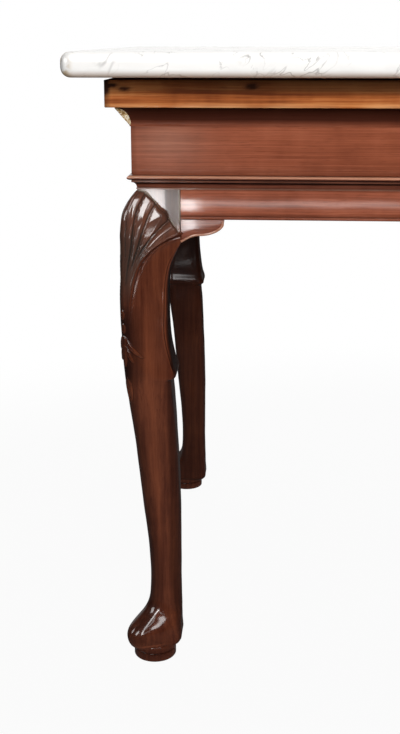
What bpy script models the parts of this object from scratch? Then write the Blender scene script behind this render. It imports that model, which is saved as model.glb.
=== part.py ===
"""Marble-topped serving table: a mahogany frame with mitred mouldings on carved cabriole legs.

The frame stands on the floor with +Z up and its front facing -Y. The origin lies on the floor,
under the middle of the marble slab.
"""

import math

import bmesh
import bpy
import numpy as np

# Driving dimensions, in metres
TABLE_HEIGHT = 0.850
FRAME_LENGTH = 1.368
FRAME_DEPTH = 0.678
GAP = 0.0003
WELD = 0.000001

MARBLE_THICKNESS = 0.030
MARBLE_OVERHANG = 0.076
MARBLE_BACK_OVERHANG = 0.026
MARBLE_EDGE_RADIUS = 0.012
MARBLE_CORNER_RADIUS = 0.014

CORNICE_THICKNESS = 0.0365
CORNICE_OVERHANG = 0.0285
CORNICE_WIDTH = 0.100

COVE_HEIGHT = 0.024
COVE_PROJECTION = 0.0175
COVE_EDGE = 0.0012

FRIEZE_HEIGHT = 0.085
FRIEZE_THICKNESS = 0.018

MOULDING_HEIGHT = 0.0182
BEAD_RADIUS = 0.0040
BEAD_PROJECTION = 0.0058
MOULDING_FILLET = 0.0016

RAIL_HEIGHT = 0.0385
RAIL_THICKNESS = 0.022
RAIL_SETBACK = 0.006
RAIL_LIP_RADIUS = 0.0022

TENON_THICKNESS = 0.010
TENON_LENGTH = 0.022
TENON_SHOULDER = 0.006

POST_WIDTH = 0.0515
POST_EASING = 0.0015

BRACKET_LENGTH = 0.060
BRACKET_DROP = 0.033
BRACKET_TIP = 0.003
BRACKET_NECK_REACH = 0.028
BRACKET_NECK_DROP = 0.021
BRACKET_THICKNESS = 0.020

BEARER_COUNT = 3
BEARER_WIDTH = 0.060
BEARER_TONGUE = 0.035

BLOCK_SIDE = 0.028
BLOCK_TOE = 0.0095
BLOCK_LENGTH = 0.070
BLOCKS_ALONG_FRONT = 4

# The pad foot: two turned tiers with a groove between them
PAD_RADIUS = 0.0304
PAD_INSET = 0.0145
PAD_HEIGHT = 0.0225
PAD_GROOVE_HEIGHT = 0.0125
PAD_GROOVE_WIDTH = 0.0024
PAD_GROOVE_DEPTH = 0.0016
PAD_EASING = 0.0012

# The carved shell on the knee
SHELL_LOBES = 5
SHELL_RELIEF = 0.0040
SHELL_FLUTE = 0.0020
SHELL_SINK = 0.0015
SHELL_BED = 0.0060
SHELL_TOP = 0.006
SHELL_DROP = 0.058
SHELL_REACH = 0.070
SHELL_STEM = 0.186
SHELL_ROOT = 0.006
SHELL_BEND = 0.009
SHELL_BEND_SHARE = 0.50
SHELL_SWEEP = 0.34
SHELL_ROWS = 6
SPOKES_PER_LOBE = 4

# Cabriole sections, each as its level, outer line, inner line, side line, arris radius and back radius.
# Outer and side lines are measured inward from the post's outer faces, inner lines from its inner faces.
# Knee sections are measured down from the leg's shoulder.
KNEE_SECTIONS = (
    (0.012, -0.0095, 0.0000, 0.0000, 0.006, 0.0015),
    (0.030, -0.0182, 0.0000, 0.0000, 0.010, 0.0015),
    (0.055, -0.0220, 0.0000, 0.0000, 0.013, 0.0020),
    (0.078, -0.0222, -0.0002, -0.0015, 0.014, 0.0030),
    (0.100, -0.0226, -0.0090, -0.0035, 0.014, 0.0050),
    (0.155, -0.0236, -0.0128, -0.0090, 0.014, 0.0060),
    (0.200, -0.0222, -0.0109, -0.0145, 0.014, 0.0070),
)
# The lappet's rolled lip, measured down from the shoulder too
LIP_SECTIONS = (
    (0.2300, -0.0208, -0.0059, -0.0170, 0.014, 0.0085),
    (0.2460, -0.0196, -0.0018, -0.0176, 0.014, 0.0095),
    (0.2540, -0.0191, -0.0032, -0.0177, 0.014, 0.0095),
    (0.2590, -0.0188, -0.0081, -0.0176, 0.014, 0.0110),
)
# Shank sections, by their share of the way from the lip to the ankle
SHANK_SECTIONS = (
    (0.10, -0.0157, -0.0063, -0.0152, 0.015, 0.0130),
    (0.30, -0.0087, -0.0030, -0.0082, 0.017, 0.0160),
    (0.55, -0.0020, 0.0003, -0.0016, 0.019, 0.0190),
)
# Ankle and foot sections, measured up from the top of the pad
FOOT_SECTIONS = (
    (0.0975, 0.0082, 0.0011, 0.0085, 0.0205, 0.0205),
    (0.0765, 0.0075, 0.0013, 0.0090, 0.0200, 0.0200),
    (0.0595, 0.0058, 0.0015, 0.0090, 0.0190, 0.0190),
    (0.0445, -0.0010, 0.0016, 0.0072, 0.0180, 0.0180),
    (0.0315, -0.0150, 0.0016, 0.0032, 0.0170, 0.0160),
    (0.0185, -0.0240, 0.0018, -0.0005, 0.0170, 0.0145),
    (0.0075, -0.0232, 0.0030, -0.0020, 0.0170, 0.0135),
    (0.0007, -0.0200, -0.0005, -0.0030, 0.0170, 0.0150),
)

# An odd number of points on each rounded corner, so that one lies on the arris
CORNER_STEPS = 5
CORNER_PASSES = 8
CORNER_LIMIT = 0.49
RING_SPACING = 0.026
ARC_STEPS = 8
CORNER_SEGMENTS = 4
EDGE_SEGMENTS = 6
CUT_MARGIN = 0.0012
SHARP_EDGE = 40
LEG_SHARP_EDGE = 35
SQUARE_EDGE = 1.0

# Levels, worked down from the top
MARBLE_BOTTOM = TABLE_HEIGHT - MARBLE_THICKNESS
CORNICE_TOP = MARBLE_BOTTOM - GAP
CORNICE_BOTTOM = CORNICE_TOP - CORNICE_THICKNESS
FRIEZE_TOP = CORNICE_BOTTOM - GAP
FRIEZE_BOTTOM = FRIEZE_TOP - FRIEZE_HEIGHT
MOULDING_TOP = FRIEZE_BOTTOM - GAP
MOULDING_BOTTOM = MOULDING_TOP - MOULDING_HEIGHT
RAIL_TOP = MOULDING_BOTTOM - GAP
RAIL_BOTTOM = RAIL_TOP - RAIL_HEIGHT
POST_TOP = FRIEZE_TOP

# Plan lines
LEFT_FACE = -FRAME_LENGTH / 2
RIGHT_FACE = FRAME_LENGTH / 2
FRONT_FACE = (MARBLE_OVERHANG - MARBLE_BACK_OVERHANG - FRAME_DEPTH) / 2
BACK_FACE = FRONT_FACE + FRAME_DEPTH
POST_INNER = RAIL_SETBACK + POST_WIDTH
POST_STEP = FRIEZE_THICKNESS + GAP
TENON_INSET = RAIL_SETBACK + (RAIL_THICKNESS - TENON_THICKNESS) / 2

# Colours as linear values, with roughness
MAHOGANY_DARK = ((0.060, 0.022, 0.014, 1.0), 0.30)
MAHOGANY_RED = ((0.150, 0.048, 0.026, 1.0), 0.35)
MAHOGANY_BOARD = ((0.260, 0.095, 0.040, 1.0), 0.40)
MARBLE_WHITE = ((0.820, 0.800, 0.770, 1.0), 0.30)
PINE = ((0.420, 0.270, 0.130, 1.0), 0.70)


def clear_scene():
    """Removes every object that the file starts with."""
    for item in list(bpy.data.objects):
        bpy.data.objects.remove(item, do_unlink=True)


def new_collection(name):
    """Makes a collection under the scene's own."""
    group = bpy.data.collections.new(name)
    bpy.context.scene.collection.children.link(group)
    return group


def make_material(name, finish):
    """Makes a Principled material from a colour and a roughness."""
    colour, roughness = finish
    material = bpy.data.materials.new(name)
    material.use_nodes = True
    shader = material.node_tree.nodes["Principled BSDF"]
    shader.inputs["Base Color"].default_value = colour
    shader.inputs["Roughness"].default_value = roughness
    shader.inputs["Metallic"].default_value = 0.0
    material.diffuse_color = colour
    return material


def place(name, mesh_data, finish, location=(0.0, 0.0, 0.0), smooth_angle=None):
    """Turns a bmesh into a named part with its own material, under the table's empty."""
    bmesh.ops.recalc_face_normals(mesh_data, faces=mesh_data.faces)
    mesh = bpy.data.meshes.new(name)
    mesh_data.to_mesh(mesh)
    mesh_data.free()
    part = bpy.data.objects.new(name, mesh)
    part.location = location
    part.parent = ROOT
    part.data.materials.append(make_material(name + "_finish", finish))
    PARTS.objects.link(part)
    if smooth_angle is not None:
        mesh.shade_smooth()
        mesh.set_sharp_from_angle(angle=math.radians(smooth_angle))
    return part


def box_mesh(low, high):
    """Makes a bmesh box between two corners."""
    mesh_data = bmesh.new()
    bmesh.ops.create_cube(mesh_data, size=1.0)
    size = np.subtract(high, low)
    middle = np.add(high, low) / 2
    bmesh.ops.scale(mesh_data, vec=size, verts=mesh_data.verts)
    bmesh.ops.translate(mesh_data, vec=middle, verts=mesh_data.verts)
    return mesh_data


def helper_object(name, mesh_data):
    """Makes a hidden object that another part is cut by or joined with."""
    bmesh.ops.recalc_face_normals(mesh_data, faces=mesh_data.faces)
    mesh = bpy.data.meshes.new(name)
    mesh_data.to_mesh(mesh)
    mesh_data.free()
    helper = bpy.data.objects.new(name, mesh)
    helper.hide_render = True
    helper.display_type = "WIRE"
    CUTTERS.objects.link(helper)
    return helper


def add_boolean(part, helper, operation):
    """Cuts a helper from a part, or joins it, keeping the helper in the part's own frame."""
    helper.location = part.location
    helper.parent = ROOT
    modifier = part.modifiers.new(helper.name, "BOOLEAN")
    modifier.operation = operation
    modifier.object = helper
    modifier.solver = "EXACT"


def loft(rings):
    """Skins a stack of rings with the same number of points each, closed and cut into triangles."""
    mesh_data = bmesh.new()
    loops = [[mesh_data.verts.new(point) for point in ring] for ring in rings]
    count = len(loops[0])
    for lower, upper in zip(loops, loops[1:]):
        for k in range(count):
            following = (k + 1) % count
            mesh_data.faces.new((lower[k], lower[following], upper[following], upper[k]))
    mesh_data.faces.new(loops[0])
    mesh_data.faces.new(loops[-1])
    bmesh.ops.remove_doubles(mesh_data, verts=mesh_data.verts, dist=WELD)
    bmesh.ops.triangulate(mesh_data, faces=mesh_data.faces)
    return mesh_data


def moulded_run(profile, side, mitre_start, mitre_end):
    """Runs a profile along one side of the frame, with each end mitred or square.

    The profile's points are (outward, level), outward from the frieze's face. Each mitre stands
    back by half a gap, so two runs meet with one gap between them.
    """
    start, end, along, outward = SIDES[side]
    origin = np.array(start, float)
    run = np.linalg.norm(np.subtract(end, start))
    back_off = GAP * math.sqrt(0.5)
    first = []
    last = []
    for out, level in profile:
        near = -out + back_off if mitre_start else GAP
        far = run + out - back_off if mitre_end else run
        shift = outward * out
        first.append((*(origin + along * near + shift), level))
        last.append((*(origin + along * far + shift), level))
    return loft([first, last])


def quarter_hollow(out_low, level_low, out_high, level_high, steps=ARC_STEPS):
    """Points of a concave quarter, upright at its low end and level at its high end."""
    angles = np.linspace(0.0, math.pi / 2, steps + 1)
    width = out_high - out_low
    height = level_high - level_low
    return [(out_low + width * (1 - math.cos(t)), level_low + height * math.sin(t)) for t in angles]


def round_bead(out, level, radius, steps=ARC_STEPS):
    """Points of a half-round bead, from its top to its bottom, bulging outward."""
    angles = np.linspace(math.pi / 2, -math.pi / 2, steps + 1)
    return [(out + radius * math.cos(t), level + radius * math.sin(t)) for t in angles]


def cove_profile():
    """The cavetto under the cornice, planted on the frieze's face."""
    low = FRIEZE_TOP - COVE_HEIGHT
    hollow = quarter_hollow(COVE_EDGE, low + COVE_EDGE, COVE_PROJECTION, FRIEZE_TOP - COVE_EDGE)
    return [(GAP, FRIEZE_TOP), (GAP, low), (COVE_EDGE, low), *hollow, (COVE_PROJECTION, FRIEZE_TOP)]


def moulding_profile():
    """The bead, fillet and small hollow between the frieze and the lower rail."""
    bead_centre = MOULDING_TOP - BEAD_RADIUS
    bead = round_bead(BEAD_PROJECTION - BEAD_RADIUS, bead_centre, BEAD_RADIUS)
    fillet_low = MOULDING_TOP - 2 * BEAD_RADIUS - MOULDING_FILLET
    fillet_out = BEAD_PROJECTION - BEAD_RADIUS
    hollow_low = MOULDING_BOTTOM + MOULDING_FILLET
    hollow = quarter_hollow(-RAIL_SETBACK, hollow_low, fillet_out - MOULDING_FILLET, fillet_low)
    return [
        (-FRIEZE_THICKNESS, MOULDING_BOTTOM),
        (-RAIL_SETBACK + MOULDING_FILLET / 2, MOULDING_BOTTOM),
        (-RAIL_SETBACK + MOULDING_FILLET / 2, hollow_low),
        *hollow,
        (fillet_out, fillet_low),
        *reversed(bead),
        (-FRIEZE_THICKNESS, MOULDING_TOP),
    ]


def board_profile(out_low, out_high, level_low, level_high):
    """A plain rectangular board."""
    return [(out_low, level_low), (out_high, level_low), (out_high, level_high), (out_low, level_high)]


def round_edges(mesh_data, edges, radius, segments):
    """Rounds some edges of a bmesh."""
    bmesh.ops.bevel(mesh_data, geom=edges, offset=radius, segments=segments, profile=0.5, affect="EDGES")


def make_marble():
    """The loose slab: rounded front and side edges, square at the wall."""
    low = (LEFT_FACE - MARBLE_OVERHANG, FRONT_FACE - MARBLE_OVERHANG, 0.0)
    high = (RIGHT_FACE + MARBLE_OVERHANG, BACK_FACE + MARBLE_BACK_OVERHANG, MARBLE_THICKNESS)
    mesh_data = box_mesh(low, high)

    def is_front(vertex):
        return abs(vertex.co.y - low[1]) < GAP

    upright = [e for e in mesh_data.edges if abs(e.verts[0].co.z - e.verts[1].co.z) > GAP]
    corners = [e for e in upright if is_front(e.verts[0])]
    round_edges(mesh_data, corners, MARBLE_CORNER_RADIUS, CORNER_SEGMENTS)

    def is_shaped(edge):
        first, second = (v.co for v in edge.verts)
        level = abs(first.z - second.z) < GAP
        wall = abs(first.y - high[1]) < GAP and abs(second.y - high[1]) < GAP
        return level and not wall and edge.calc_face_angle() > SQUARE_EDGE

    shaped = [e for e in mesh_data.edges if is_shaped(e)]
    edge_radius = min(MARBLE_EDGE_RADIUS, CORNER_LIMIT * MARBLE_THICKNESS)
    round_edges(mesh_data, shaped, edge_radius, EDGE_SEGMENTS)
    place("marble_top", mesh_data, MARBLE_WHITE, (0.0, 0.0, MARBLE_BOTTOM), SHARP_EDGE)


def make_cornice():
    """Four cornice boards, mitred at the front, with the back board between the sides."""
    profile = board_profile(CORNICE_OVERHANG - CORNICE_WIDTH, CORNICE_OVERHANG, CORNICE_BOTTOM, CORNICE_TOP)
    boards = {}
    for side, mitres in (("front", (True, True)), ("left", (True, False)), ("right", (True, False))):
        boards[side] = place(f"cornice_board_{side}", moulded_run(profile, side, *mitres), MAHOGANY_BOARD)
    inner = CORNICE_WIDTH - CORNICE_OVERHANG
    low = (LEFT_FACE + inner + GAP, BACK_FACE - inner, CORNICE_BOTTOM)
    high = (RIGHT_FACE - inner - GAP, BACK_FACE, CORNICE_TOP)
    boards["back"] = place("cornice_board_back", box_mesh(low, high), PINE)
    return boards


def make_bearers(boards):
    """Cross bearers under the slab, halved into the front and back cornice boards."""
    inner = CORNICE_WIDTH - CORNICE_OVERHANG
    front = FRONT_FACE + inner
    back = BACK_FACE - inner
    half = BEARER_WIDTH / 2
    lap = CORNICE_TOP - CORNICE_THICKNESS / 2
    for number in range(BEARER_COUNT):
        middle = LEFT_FACE + FRAME_LENGTH * (number + 1) / (BEARER_COUNT + 1)
        label = number + 1
        low = (middle - half, front + GAP, CORNICE_BOTTOM)
        high = (middle + half, back - GAP, CORNICE_TOP)
        bearer = place(f"cross_bearer_{label}", box_mesh(low, high), PINE)
        tongue_low = (middle - half, front - BEARER_TONGUE + GAP, lap + GAP)
        tongue_high = (middle + half, back + BEARER_TONGUE - GAP, CORNICE_TOP)
        tongue = helper_object(f"bearer_tongue_{label}", box_mesh(tongue_low, tongue_high))
        add_boolean(bearer, tongue, "UNION")
        for side, line, sign in (("front", front, -1), ("back", back, 1)):
            reach = sorted((line - sign * CUT_MARGIN, line + sign * BEARER_TONGUE))
            cut_low = (middle - half - GAP, reach[0], lap)
            cut_high = (middle + half + GAP, reach[1], CORNICE_TOP + CUT_MARGIN)
            notch = helper_object(f"bearer_notch_{side}_{label}", box_mesh(cut_low, cut_high))
            add_boolean(boards[side], notch, "DIFFERENCE")


def make_frieze():
    """Frieze boards mitred at the front corners, with the back board between the sides."""
    profile = board_profile(-FRIEZE_THICKNESS, 0.0, FRIEZE_BOTTOM, FRIEZE_TOP)
    for side, mitres in (("front", (True, True)), ("left", (True, False)), ("right", (True, False))):
        place(f"frieze_{side}", moulded_run(profile, side, *mitres), MAHOGANY_RED)
    low = (LEFT_FACE + POST_STEP, BACK_FACE - FRIEZE_THICKNESS, RAIL_TOP + GAP)
    high = (RIGHT_FACE - POST_STEP, BACK_FACE, FRIEZE_TOP)
    place("frieze_back", box_mesh(low, high), PINE)


def make_mouldings():
    """The cove under the cornice and the beaded moulding over the lower rail."""
    for side, mitres in (("front", (True, True)), ("left", (True, False)), ("right", (True, False))):
        cove = moulded_run(cove_profile(), side, *mitres)
        place(f"cove_{side}", cove, MAHOGANY_RED, smooth_angle=SHARP_EDGE)
        bead = moulded_run(moulding_profile(), side, *mitres)
        place(f"bead_moulding_{side}", bead, MAHOGANY_DARK, smooth_angle=SHARP_EDGE)


def rail_mesh(side, lipped):
    """A lower rail between two posts, with a half-round lip along its foot where it shows."""
    start, end, along, outward = SIDES[side]
    origin = np.array(start, float)
    run = np.linalg.norm(np.subtract(end, start))
    face = -RAIL_SETBACK
    back = face - RAIL_THICKNESS
    outline = [(back, RAIL_BOTTOM), (back, RAIL_TOP), (face, RAIL_TOP)]
    if lipped:
        outline += round_bead(face, RAIL_BOTTOM + RAIL_LIP_RADIUS, RAIL_LIP_RADIUS)
    else:
        outline.append((face, RAIL_BOTTOM))
    ends = []
    for reach in (POST_INNER + GAP, run - POST_INNER - GAP):
        ends.append([(*(origin + along * reach + outward * out), level) for out, level in outline])
    return loft(ends)


def tenon_box(side):
    """One bar through a rail that makes the tenons at both of its ends."""
    start, end, along, outward = SIDES[side]
    origin = np.array(start, float)
    run = np.linalg.norm(np.subtract(end, start))
    reach = POST_INNER - TENON_LENGTH
    near = origin + along * reach - outward * TENON_INSET
    far = origin + along * (run - reach) - outward * (TENON_INSET + TENON_THICKNESS)
    low = np.minimum(near, far)
    high = np.maximum(near, far)
    return (*low, RAIL_BOTTOM + TENON_SHOULDER), (*high, RAIL_TOP - TENON_SHOULDER)


def make_rails():
    """Four lower rails, tenoned into the legs."""
    for side in SIDES:
        finish = PINE if side == "back" else MAHOGANY_RED
        rail = place(f"lower_rail_{side}", rail_mesh(side, side != "back"), finish, smooth_angle=SHARP_EDGE)
        tenons = helper_object(f"tenons_{side}", box_mesh(*tenon_box(side)))
        add_boolean(rail, tenons, "UNION")


def rounded_section(outer, inner, side_line, arris_radius, back_radius):
    """One section of a leg: a kite with its arris on the outer corner and every corner rounded.

    The outer line is where the rounded arris reaches, so the sharp corner lies further out.
    """
    corner = outer
    for _ in range(CORNER_PASSES):
        lean = math.atan2(side_line - corner, inner - corner)
        corner = outer - arris_radius * (1 / (math.sqrt(2) * math.sin(math.pi / 4 - lean)) - 1)
    points = np.array([(corner, corner), (inner, side_line), (inner, inner), (side_line, inner)])
    radii = (arris_radius, back_radius, back_radius, back_radius)
    outline = []
    for k in range(4):
        here = points[k]
        before = points[k - 1] - here
        after = points[(k + 1) % 4] - here
        before_length = np.linalg.norm(before)
        after_length = np.linalg.norm(after)
        before = before / before_length
        after = after / after_length
        half_angle = math.acos(float(before @ after)) / 2
        limit = CORNER_LIMIT * min(before_length, after_length) * math.tan(half_angle)
        radius = min(radii[k], limit)
        bisector = (before + after) / np.linalg.norm(before + after)
        centre = here + bisector * radius / math.sin(half_angle)
        from_point = here + before * radius / math.tan(half_angle) - centre
        turn = math.pi - 2 * half_angle
        for step in range(CORNER_STEPS):
            angle = turn * step / (CORNER_STEPS - 1)
            cosine, sine = math.cos(angle), math.sin(angle)
            x = from_point[0] * cosine - from_point[1] * sine
            y = from_point[0] * sine + from_point[1] * cosine
            outline.append((centre[0] + x, centre[1] + y))
    return np.array(outline)


def smooth_values(levels, values, level):
    """Cubic interpolation through rows of values that never overshoots a turning point."""
    steps = np.diff(values, axis=0) / np.diff(levels)[:, None]
    slopes = np.vstack([steps[:1], (steps[:-1] + steps[1:]) / 2, steps[-1:]])
    turning = np.vstack([steps[:-1] * steps[1:] <= 0])
    slopes[1:-1][turning] = 0.0
    k = int(np.clip(np.searchsorted(levels, level) - 1, 0, len(levels) - 2))
    span = levels[k + 1] - levels[k]
    t = (level - levels[k]) / span
    start = values[k] * (2 * t**3 - 3 * t**2 + 1) + slopes[k] * span * (t**3 - 2 * t**2 + t)
    return start + values[k + 1] * (3 * t**2 - 2 * t**3) + slopes[k + 1] * span * (t**3 - t**2)


def leg_sections():
    """All cabriole sections from the foot to the shoulder, as levels and rows of sizes."""
    lip_low = RAIL_TOP - LIP_SECTIONS[-1][0]
    ankle = PAD_HEIGHT + FOOT_SECTIONS[0][0]
    rows = [(PAD_HEIGHT + rise, *sizes) for rise, *sizes in FOOT_SECTIONS]
    rows += [(lip_low + (ankle - lip_low) * share, *sizes) for share, *sizes in SHANK_SECTIONS]
    rows += [(RAIL_TOP - depth, *sizes) for depth, *sizes in LIP_SECTIONS + KNEE_SECTIONS]
    rows.append((RAIL_TOP, 0.0, 0.0, 0.0, POST_EASING, POST_EASING))
    rows.sort()
    table = np.array(rows)
    return table[:, 0], table[:, 1:] + (RAIL_SETBACK, POST_INNER, RAIL_SETBACK, 0.0, 0.0)


def pad_ring(level, radius):
    """A turned ring of the pad foot, with as many points as a leg's section."""
    count = 4 * CORNER_STEPS
    first = math.radians(225) - math.radians(45) * (CORNER_STEPS - 1) / CORNER_STEPS
    angles = first + np.arange(count) * 2 * math.pi / count
    middle = RAIL_SETBACK + PAD_INSET
    return [(middle + radius * math.cos(t), middle + radius * math.sin(t), level) for t in angles]


def leg_rings():
    """Rings of the whole leg from the floor to the top of its post, in the corner's own frame."""
    half_groove = PAD_GROOVE_WIDTH / 2
    core = PAD_RADIUS - PAD_GROOVE_DEPTH
    rings = [
        pad_ring(0.0, PAD_RADIUS - PAD_EASING),
        pad_ring(PAD_EASING, PAD_RADIUS),
        pad_ring(PAD_GROOVE_HEIGHT - half_groove, PAD_RADIUS),
        pad_ring(PAD_GROOVE_HEIGHT, core),
        pad_ring(PAD_GROOVE_HEIGHT + half_groove, PAD_RADIUS),
        pad_ring(PAD_HEIGHT - PAD_EASING, PAD_RADIUS),
        pad_ring(PAD_HEIGHT, PAD_RADIUS - PAD_EASING),
    ]
    levels, sizes = leg_sections()
    stations = [levels[0]]
    for low, high in zip(levels, levels[1:]):
        count = max(1, math.ceil((high - low) / RING_SPACING))
        stations += [low + (high - low) * (n + 1) / count for n in range(count)]
    for level in stations:
        outline = rounded_section(*smooth_values(levels, sizes, level))
        rings.append([(a, b, level) for a, b in outline])
    for level in (RAIL_TOP, POST_TOP):
        outline = rounded_section(POST_STEP, POST_INNER - POST_EASING, POST_STEP, POST_EASING, POST_EASING)
        rings.append([(a, b, level) for a, b in outline])
    return rings


def knee_line(outline):
    """Half a section from its arris to its back corner: points, outward normals and lengths."""
    line = outline[CORNER_STEPS // 2 : CORNER_STEPS + 1]
    runs = np.diff(line, axis=0)
    lengths = np.linalg.norm(runs, axis=1)
    facing = np.stack([runs[:, 1], -runs[:, 0]], axis=1) / lengths[:, None]
    normals = np.vstack([facing[:1] + facing[:1, ::-1], facing[:-1] + facing[1:], facing[-1:]])
    normals = normals / np.linalg.norm(normals, axis=1)[:, None]
    return line, normals, np.concatenate([[0.0], np.cumsum(lengths)])


def knee_point(levels, sizes, distance, level, lift):
    """A point on the knee at a distance along the section from the arris, lifted off the surface."""
    line, normals, lengths = knee_line(rounded_section(*smooth_values(levels, sizes, level)))
    reach = abs(distance)
    spot = [np.interp(reach, lengths, line[:, k]) + lift * np.interp(reach, lengths, normals[:, k]) for k in (0, 1)]
    if distance < 0:
        spot.reverse()
    return (*spot, level)


def shell_mesh():
    """The carved shell: lobes that fan out from a narrow stem on the arris, sunk into the knee."""
    levels, sizes = leg_sections()
    spokes = SHELL_LOBES * SPOKES_PER_LOBE
    crown = RAIL_TOP - SHELL_TOP
    root = RAIL_TOP - SHELL_STEM
    wing = RAIL_TOP - SHELL_DROP
    rings = []
    for spoke in range(-spokes, spokes + 1):
        share = abs(spoke) / spokes
        side = math.copysign(1.0, spoke)
        swing = share * math.pi / 2
        rim = np.array([SHELL_REACH * math.sin(swing), wing + (crown - wing) * math.cos(swing)])
        start = np.array([SHELL_ROOT * share, root])
        bend_level = root + (rim[1] - root) * (SHELL_BEND_SHARE + SHELL_SWEEP * share)
        bend = np.array([start[0] + SHELL_BEND * share, bend_level])
        hollow = math.sin(math.pi * (abs(spoke) + SPOKES_PER_LOBE / 2) / SPOKES_PER_LOBE) ** 2
        crest = []
        bed = []
        for row in range(SHELL_ROWS + 1):
            t = row / SHELL_ROWS
            reach, level = start * (1 - t) ** 2 + bend * 2 * t * (1 - t) + rim * t**2
            lift = SHELL_RELIEF * math.sin(math.pi / 2 * t) - SHELL_SINK * (1 - t)
            lift -= SHELL_FLUTE * (1 - hollow) * math.sin(math.pi / 2 * t)
            crest.append(knee_point(levels, sizes, side * reach, level, lift))
            bed.append(knee_point(levels, sizes, side * reach, level, -SHELL_BED))
        rings.append(crest + bed[::-1])
    return loft(rings)


def make_legs():
    """Four cabriole legs: the front pair carry a shell, and every post is mortised for two rails."""
    carved = shell_mesh()
    shell_points = bpy.data.meshes.new("shell_shape")
    carved.to_mesh(shell_points)
    carved.free()
    for across, x, sign_x in (("left", LEFT_FACE, 1), ("right", RIGHT_FACE, -1)):
        for depth, y, sign_y in (("front", FRONT_FACE, 1), ("back", BACK_FACE, -1)):
            label = f"{depth}_{across}"
            turned = [[(sign_x * a, sign_y * b, z) for a, b, z in ring] for ring in leg_rings()]
            leg = place(f"leg_{label}", loft(turned), MAHOGANY_DARK, (x, y, 0.0), LEG_SHARP_EDGE)
            if depth == "front":
                shell = bmesh.new()
                shell.from_mesh(shell_points)
                bmesh.ops.scale(shell, vec=(sign_x, sign_y, 1.0), verts=shell.verts)
                add_boolean(leg, helper_object(f"knee_shell_{label}", shell), "UNION")
            for rail_name in (depth, across):
                low, high = tenon_box(rail_name)
                low = np.subtract(low, (x + GAP, y + GAP, GAP))
                high = np.subtract(high, (x - GAP, y - GAP, -GAP))
                mortise = helper_object(f"mortise_{rail_name}_{label}", box_mesh(low, high))
                add_boolean(leg, mortise, "DIFFERENCE")


def bracket_outline():
    """The scrolled ear: an S-shaped foot from the leg to its tip under the rail."""
    lower = [(0.0, BRACKET_DROP)]
    for step in range(1, ARC_STEPS):
        share = step / ARC_STEPS
        rise = (BRACKET_DROP - BRACKET_NECK_DROP) * math.sin(share * math.pi / 2)
        lower.append((BRACKET_NECK_REACH * share, BRACKET_DROP - rise))
    for step in range(ARC_STEPS + 1):
        turn = step / ARC_STEPS * math.pi / 2
        reach = BRACKET_NECK_REACH + (BRACKET_LENGTH - BRACKET_NECK_REACH) * math.sin(turn)
        lower.append((reach, BRACKET_TIP + (BRACKET_NECK_DROP - BRACKET_TIP) * math.cos(turn)))
    return [(0.0, 0.0), *lower, (BRACKET_LENGTH, 0.0)]


def make_brackets():
    """Six brackets: two on each front leg and one on the side of each back leg."""
    for across, x, sign_x in (("left", LEFT_FACE, 1), ("right", RIGHT_FACE, -1)):
        places = (("front", "along", FRONT_FACE, 1), ("front", "side", FRONT_FACE, 1), ("back", "side", BACK_FACE, -1))
        for depth, way, y, sign_y in places:
            faces = []
            for thick in (RAIL_SETBACK, RAIL_SETBACK + BRACKET_THICKNESS):
                ring = []
                for reach, drop in bracket_outline():
                    out = POST_INNER + GAP + reach
                    a, b = (out, thick) if way == "along" else (thick, out)
                    ring.append((sign_x * a, sign_y * b, RAIL_BOTTOM - GAP - drop))
                faces.append(ring)
            name = f"knee_bracket_{depth}_{across}_{way}"
            place(name, loft(faces), MAHOGANY_DARK, (x, y, 0.0), SHARP_EDGE)


def make_glue_blocks():
    """Rubbed glue blocks behind the front frieze, under the cornice."""
    back = FRONT_FACE + FRIEZE_THICKNESS + GAP
    clear = FRAME_LENGTH - 2 * POST_INNER
    for number in range(BLOCKS_ALONG_FRONT):
        middle = LEFT_FACE + POST_INNER + clear * (number + 0.5) / BLOCKS_ALONG_FRONT
        ends = []
        for x in (middle - BLOCK_LENGTH / 2, middle + BLOCK_LENGTH / 2):
            ends.append([
                (x, back, FRIEZE_TOP),
                (x, back + BLOCK_SIDE, FRIEZE_TOP),
                (x, back + BLOCK_SIDE, FRIEZE_TOP - BLOCK_TOE),
                (x, back + BLOCK_TOE, FRIEZE_TOP - BLOCK_SIDE),
                (x, back, FRIEZE_TOP - BLOCK_SIDE),
            ])
        place(f"glue_block_{number + 1}", loft(ends), PINE)


clear_scene()
PARTS = new_collection("serving_table")
CUTTERS = new_collection("serving_table_cutters")
ROOT = bpy.data.objects.new("serving_table_root", None)
PARTS.objects.link(ROOT)

# Each side of the frame runs between two of its corners, with the way along it and the way out
SIDES = {
    "front": ((LEFT_FACE, FRONT_FACE), (RIGHT_FACE, FRONT_FACE), np.array([1.0, 0.0]), np.array([0.0, -1.0])),
    "left": ((LEFT_FACE, FRONT_FACE), (LEFT_FACE, BACK_FACE), np.array([0.0, 1.0]), np.array([-1.0, 0.0])),
    "right": ((RIGHT_FACE, FRONT_FACE), (RIGHT_FACE, BACK_FACE), np.array([0.0, 1.0]), np.array([1.0, 0.0])),
    "back": ((LEFT_FACE, BACK_FACE), (RIGHT_FACE, BACK_FACE), np.array([1.0, 0.0]), np.array([0.0, 1.0])),
}

make_marble()
make_bearers(make_cornice())
make_frieze()
make_mouldings()
make_rails()
make_legs()
make_brackets()
make_glue_blocks()
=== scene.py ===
"""Looks of a marble-topped serving table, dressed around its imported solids.

Lengths are metres in the frame of the solids: +Z is up, the front faces -Y and the origin lies on
the floor under the middle of the slab. Names that end in _mm hold millimetres.
"""

import logging
import math
from collections.abc import Callable, Sequence
from dataclasses import dataclass, field, replace
from enum import Enum, auto
from functools import partial
from typing import ClassVar

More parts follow.
